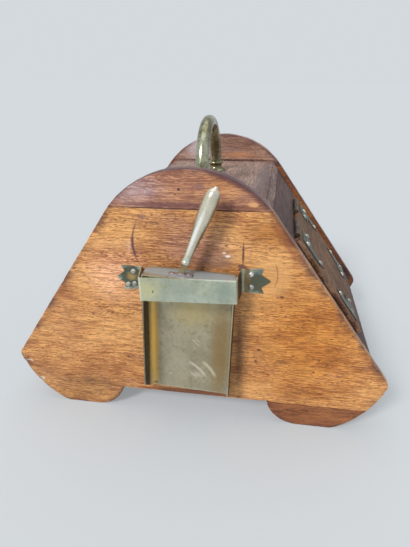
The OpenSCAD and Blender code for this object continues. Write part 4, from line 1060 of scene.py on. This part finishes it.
# %% The eight boards of the two ends
NEAR_CHIPS = [                           # centre, radius and depth, in mm
    ((-216, -135, 56), 9, 2.6), ((-203, -136, 33), 5, 1.6), ((90, -136, 31.5), 6, 1.8),
    ((-182, -136, 17), 4, 1.0), ((118, -136, 223), 6, 1.0), ((150, -136, 176), 7, 1.1),
    ((171, -136, 148), 5, 0.9), ((-152, -136, 176), 5, 0.9), ((-118, -136, 226), 4, 0.8),
]
FOOT_CHIPS = [((91, -136, 30), 5, 1.6)]
oak_block("near_panel", near_panel_oak, (CAP_JOINT, FOOT_JOINT), chips=NEAR_CHIPS,
          cell=5 * MM)
oak_block("near_cap", near_cap_oak, (CAP_JOINT,))
oak_block("near_front_foot", front_foot_oak, (FOOT_JOINT,), chips=FOOT_CHIPS)
oak_block("near_back_foot", back_foot_oak, (FOOT_JOINT,))
oak_block("far_panel", far_panel_oak, (CAP_JOINT, FOOT_JOINT))
oak_block("far_cap", far_cap_oak, (CAP_JOINT,))
oak_block("far_front_foot", far_foot_oak, (FOOT_JOINT,))
oak_block("far_back_foot", far_foot_oak, (FOOT_JOINT,))

# %% [markdown]
# ## Boards between the ends
#
# The top, the slopes and the short boards under them run the length of the box and butt
# against the end panels, so only their long joints show. Their cells follow the slope,
# so that the rows of faces run along each board.

# %% Boards
SLOPE_DOWN = (math.cos(SLOPE), 0, -math.sin(SLOPE))
BACK_DOWN = (-math.cos(SLOPE), 0, -math.sin(SLOPE))
BOARDS = [                               # node, finish, direction of the cells, arris in mm
    ("top_board", top_oak, CROSS, 0.5),
    ("near_stile", stile_oak, SLOPE_DOWN, 0.4),
    ("far_stile", stile_oak, SLOPE_DOWN, 0.4),
    ("front_riser", riser_oak, UP, 0.5),
    ("back_riser", riser_oak, UP, 0.5),
    ("back_upper_board", back_oak, BACK_DOWN, 0.5),
    ("back_lower_board", back_oak, BACK_DOWN, 0.5),
    ("bottom_board", riser_oak, CROSS, 0.5),
    ("front_bottom_rail", rail_oak, SLOPE_DOWN, 0.5),
]
for node, finish, across_board, arris in BOARDS:
    oak_block(node, finish, axes=(across_board, ALONG), arris=arris * MM)

# %% [markdown]
# The rail above the lid and the lid itself have gains cut for the hinge leaves, so they
# aren't convex, and a hull would fill the gains. They keep the frame's own solid instead,
# and only their long edges are broken: the short ones fit round the leaves.

# %% The two pieces that the hinges are let into
LONG_EDGE = 60 * MM


def hinged_board(node, material, body, arris, segments, knocks):
    """The frame's own solid with broken long edges and a little wear."""
    bm = copy_of(node)
    arrises = sharp_edges(bm, longer_than(LONG_EDGE), 40)
    points = points_along(arrises)
    break_edges(bm, arrises, arris, segments)
    slice_up(bm, CELL, (SLOPE_DOWN, ALONG))
    layer = note_distance(bm, points)
    weather(bm, layer, hollow=0.2, knocks=knocks)
    finish_piece(bm, "oak_" + node, material, body, node)


hinged_board("front_top_rail", rail_oak, "carcass", arris=0.5 * MM, segments=2, knocks=0.4)
hinged_board("lid_board", lid_oak, "lid", arris=0.9 * MM, segments=3, knocks=0.5)

# %% [markdown]
# ## Sheet brass
#
# The strap, the pan, its tang and the four lid mounts are cut from sheet. A real sheet
# differs from the solid in three ways: its cut edges are filed, its folds have a small
# radius, and it isn't flat any more. The first two are bevels, a wide one on the folds
# and a fine one elsewhere. For the third, both skins of the sheet move to and fro
# together, by noise that is the same through the thickness, so the sheet bends without
# getting thinner. It is only ever pressed inwards, which keeps it within its true size.

# %% Sheet pieces
FILED_FROM = 2 * MM                      # edges shorter than this stay as they are


def buckle(bm, outwards, size, amount):
    """Presses a thin sheet in by up to the amount in mm, both skins alike."""
    outwards = Vector(outwards).normalized()
    for v in bm.verts:
        place = v.co / MM
        flat = place - outwards * (place @ outwards)
        v.co -= outwards * (amount * MM * (0.5 + 0.5 * noise.noise(flat / size)))


def is_fold(edge):
    """Whether the edge is one of the strap's upright corners."""
    run = edge.verts[1].co - edge.verts[0].co
    return run.length > 15 * MM and abs(run.normalized().z) > 0.9


def sheet_piece(name, node, material, body, outwards, axes, size, amount, cell=4 * MM,
                filed=0.3 * MM, fold=0.0):
    """The frame's own sheet with filed edges, rounded folds and a little buckling."""
    bm = copy_of(node)
    arrises = points_along(sharp_edges(bm, longer_than(FILED_FROM)))
    if fold:
        break_edges(bm, sharp_edges(bm, is_fold, 50), fold, 3)
    break_edges(bm, sharp_edges(bm, longer_than(FILED_FROM), 50), filed, 2)
    slice_up(bm, cell, axes)
    note_distance(bm, arrises)
    buckle(bm, outwards, size, amount)
    finish_piece(bm, name, material, body, node)


OUTWARDS = (0, -1, 0)
OFF_SLOPE = (math.sin(SLOPE), 0, math.cos(SLOPE))
sheet_piece("brass_strap", "strap_holder", strap_brass, "carcass", OUTWARDS, (CROSS, UP),
            size=26, amount=0.36, fold=0.8 * MM)
sheet_piece("brass_pan", "shovel_pan", pan_brass, "shovel", OUTWARDS, (CROSS, UP),
            size=34, amount=0.50, cell=5 * MM)
sheet_piece("brass_tang", "shovel_tang", tang_brass, "shovel", OUTWARDS, (UP,),
            size=20, amount=0.05, filed=0.5 * MM)
for corner in ("near_top", "near_bottom", "far_top", "far_bottom"):
    sheet_piece(f"brass_{corner}_mount", f"{corner}_mount", mount_brass, "lid", OFF_SLOPE,
                (SLOPE_DOWN, ALONG), size=14, amount=0.10, filed=0.2 * MM)

# %% [markdown]
# ## Bow handle
#
# The handle is a brass tube bent cold round a former: half a ring with two short legs. A
# circle the size of the tube is spun half a turn about the middle of the bow, and its two
# open ends are drawn down into the feet. A curve with a round bevel would look the same,
# but spinning keeps the rows of faces even, and those carry the small dents well.

# %% Carrying handle
TUBE_SIDES, BOW_STEPS = 36, 64
low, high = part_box("carrying_handle")
tube_r = (high.x - low.x) / 2
bow_r = (high.y - low.y) / 2 - tube_r
bow_centre = Vector(((low.x + high.x) / 2, (low.y + high.y) / 2, high.z - tube_r - bow_r))
bm = bmesh.new()
near_leg = Matrix.Translation(bow_centre - Vector((0, bow_r, 0)))
bmesh.ops.create_circle(bm, segments=TUBE_SIDES, radius=tube_r, matrix=near_leg)
bmesh.ops.spin(bm, geom=bm.verts[:] + bm.edges[:], cent=bow_centre, axis=CROSS, angle=-math.pi,
               steps=BOW_STEPS)
rims = [e for e in bm.edges if e.is_boundary]
grown = bmesh.ops.extrude_edge_only(bm, edges=rims)["geom"]
lower_ends = [g for g in grown if isinstance(g, bmesh.types.BMVert)]
bmesh.ops.translate(bm, vec=(0, 0, low.z - bow_centre.z), verts=lower_ends)
bmesh.ops.holes_fill(bm, edges=[e for e in bm.edges if e.is_boundary], sides=0)
bmesh.ops.recalc_face_normals(bm, faces=bm.faces[:])
print("bow:", round(bow_r / MM, 2), "mm to the middle of a tube of", round(tube_r / MM, 2))

# %% Pits and small dents in the handle
PITS = [                                 # centre, radius and depth, in mm
    ((1, -50, 306.5), 2.0, 0.3), ((4, -50, 313), 1.5, 0.25), ((-4, 20, 348), 9, 0.25),
    ((5, -20, 340), 7, 0.25),
]
weather(bm, note_distance(bm), hollow=0.16, knocks=0.0, chips=PITS)
finish_piece(bm, "brass_carrying_handle", handle_brass, "carcass", "carrying_handle")

# %% [markdown]
# ## Turned pieces
#
# The feet of the handle and the shovel's cast grip are round about their own axis: the
# feet were turned on a lathe and the grip was cast from a turned pattern. Both are spun
# from half an outline, with extra points where the outline turns, so that rings and
# flanges get a small radius instead of a hard line.

# %% Turning, and the feet of the handle
def turned(profile, place, segments=56):
    """A solid spun about its own Z axis from (radius, height) pairs in mm, put in its place."""
    bm = bmesh.new()
    points = [bm.verts.new((radius * MM, 0, height * MM)) for radius, height in profile]
    outline = [bm.edges.new(pair) for pair in zip(points, points[1:])]
    bmesh.ops.spin(bm, geom=points + outline, cent=(0, 0, 0), axis=UP, angle=math.tau,
                   steps=segments, use_merge=True)
    bmesh.ops.remove_doubles(bm, verts=bm.verts[:], dist=0.001 * MM)
    bmesh.ops.transform(bm, matrix=place, verts=bm.verts[:])
    bmesh.ops.recalc_face_normals(bm, faces=bm.faces[:])
    return bm


ENDS = ("near", "far")
FOOT_OUTLINE = [
    (0, 0), (13.1, 0), (13.5, 0.3), (13.5, 1.2), (13.2, 1.7),                # flange
    (11.6, 2.6), (10.2, 3.7), (9.2, 5.0), (8.7, 6.5), (8.65, 8.4),           # hollow
    (8.9, 9.2), (10.1, 9.7), (10.8, 10.3), (11, 11.0), (11, 12.0),           # ring
    (10.7, 13.0), (10.1, 13.7), (9.2, 14.0), (0, 14.0),
]
for end in ENDS:
    low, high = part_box(f"{end}_handle_foot")
    bm = turned(FOOT_OUTLINE, Matrix.Translation(((low.x + high.x) / 2, (low.y + high.y) / 2, low.z)))
    weather(bm, note_distance(bm), hollow=0.12, knocks=0.0)
    finish_piece(bm, f"brass_{end}_handle_foot", handle_brass, "carcass",
                 f"{end}_handle_foot")

# %% [markdown]
# The grip swells from a thin neck to four fifths of its length and ends bluntly, as a casting does whose
# pattern was turned to fit a palm. Two short formulas give the swell and the blunt end; a few listed
# points give the collar and the small button at the tip. It leans with the tang that it sits on, and the
# whole shovel hangs a little out of plumb, so its place is two turns, one inside the other.

# %% Outline of the shovel's grip
COLLAR = 3.5                             # height of the collar at the neck, in mm
GRIP_LENGTH, GRIP_R, NECK_R, TIP_R = 85.0, 8.4, 4.1, 2.6
SWELL = 0.8                              # the grip is widest at this share of its length
GRIP_STEPS = 40


def grip_radius(share):
    """Swells to its widest place and rounds off bluntly."""
    if share < SWELL:
        return NECK_R + (GRIP_R - NECK_R) * math.sin(share / SWELL * QUARTER) ** 2
    return TIP_R + (GRIP_R - TIP_R) * math.sqrt(max(0, 1 - ((share - SWELL) / (1 - SWELL)) ** 2))


shares = [k / GRIP_STEPS for k in range(1, GRIP_STEPS + 1)]
outline = [(0, 0), (4.5, 0), (4.8, 0.4), (4.8, 3.0), (4.5, 3.4)]
outline += [(grip_radius(share), COLLAR + share * (GRIP_LENGTH - COLLAR)) for share in shares]
outline += [(2.5, 85.7), (2.1, 86.5), (1.2, 87.1), (0, 87.3)]
print("grip:", outline[-1][1], "mm long and", 2 * GRIP_R, "mm across")

# %% The shovel's grip in its place
HANG_POINT = (3.5, 0, 189)               # the shovel is tilted about this point
TANG_TOP = (-5.5, -157.15, 201.5)        # where the grip's lean starts, before that tilt
NECK = 15                                # from there to the collar, in mm


def about_y(angle):
    """A turn about Y, in degrees."""
    return Matrix.Rotation(math.radians(angle), 4, "Y")


def shift(place, way=1):
    """A move to a place in mm, or back from it."""
    return Matrix.Translation(Vector(place) * MM * way)


hang = shift(HANG_POINT) @ about_y(HANG_TILT) @ shift(HANG_POINT, -1)
grip_place = hang @ shift(TANG_TOP) @ about_y(GRIP_LEAN) @ shift((0, 0, NECK))
bm = turned(outline, grip_place, segments=44)
weather(bm, note_distance(bm), hollow=0.35, knocks=0.0)
finish_piece(bm, "brass_grip", grip_brass, "shovel", "shovel_grip")

# %% [markdown]
# ## Small and hidden pieces
#
# Screws, studs, rivets, nails and hinge leaves are small and already have the right form,
# and the liner, the battens and the dowels are only seen when the lid is open or the box
# is taken apart. They could be modelled again too, but nothing would be gained, so the
# frame's own solids stay in the picture and only get their metal or wood.

# %% Pieces kept as they are in the frame
BATTENS = [f"{end}_{place}_batten" for end in ENDS for place in ("front", "back", "top", "bottom")]
CARRIED = {
    hinge_brass: ["near_hinge_frame_leaf", "far_hinge_frame_leaf", "near_hinge_lid_leaf",
                  "far_hinge_lid_leaf"],
    stud_brass: ["lid_studs"],
    tang_brass: ["shovel_rivets"],
    screw_brass: ["strap_screws", "hinge_frame_screws", "hinge_lid_screws"],
    liner_iron: ["liner_tray", "liner_near_end", "liner_far_end"],
    plain_iron: ["liner_nails", "batten_screws", "near_hinge_pin", "far_hinge_pin", "handle_studs",
                 "handle_washers", "handle_nuts"],
    riser_oak: ["cap_dowels", "foot_dowels", *BATTENS],
}
for material, names in CARRIED.items():
    for name in names:
        for slot in NODES[name].material_slots:
            slot.material = material
print("pieces kept from the frame:", sum(len(names) for names in CARRIED.values()))
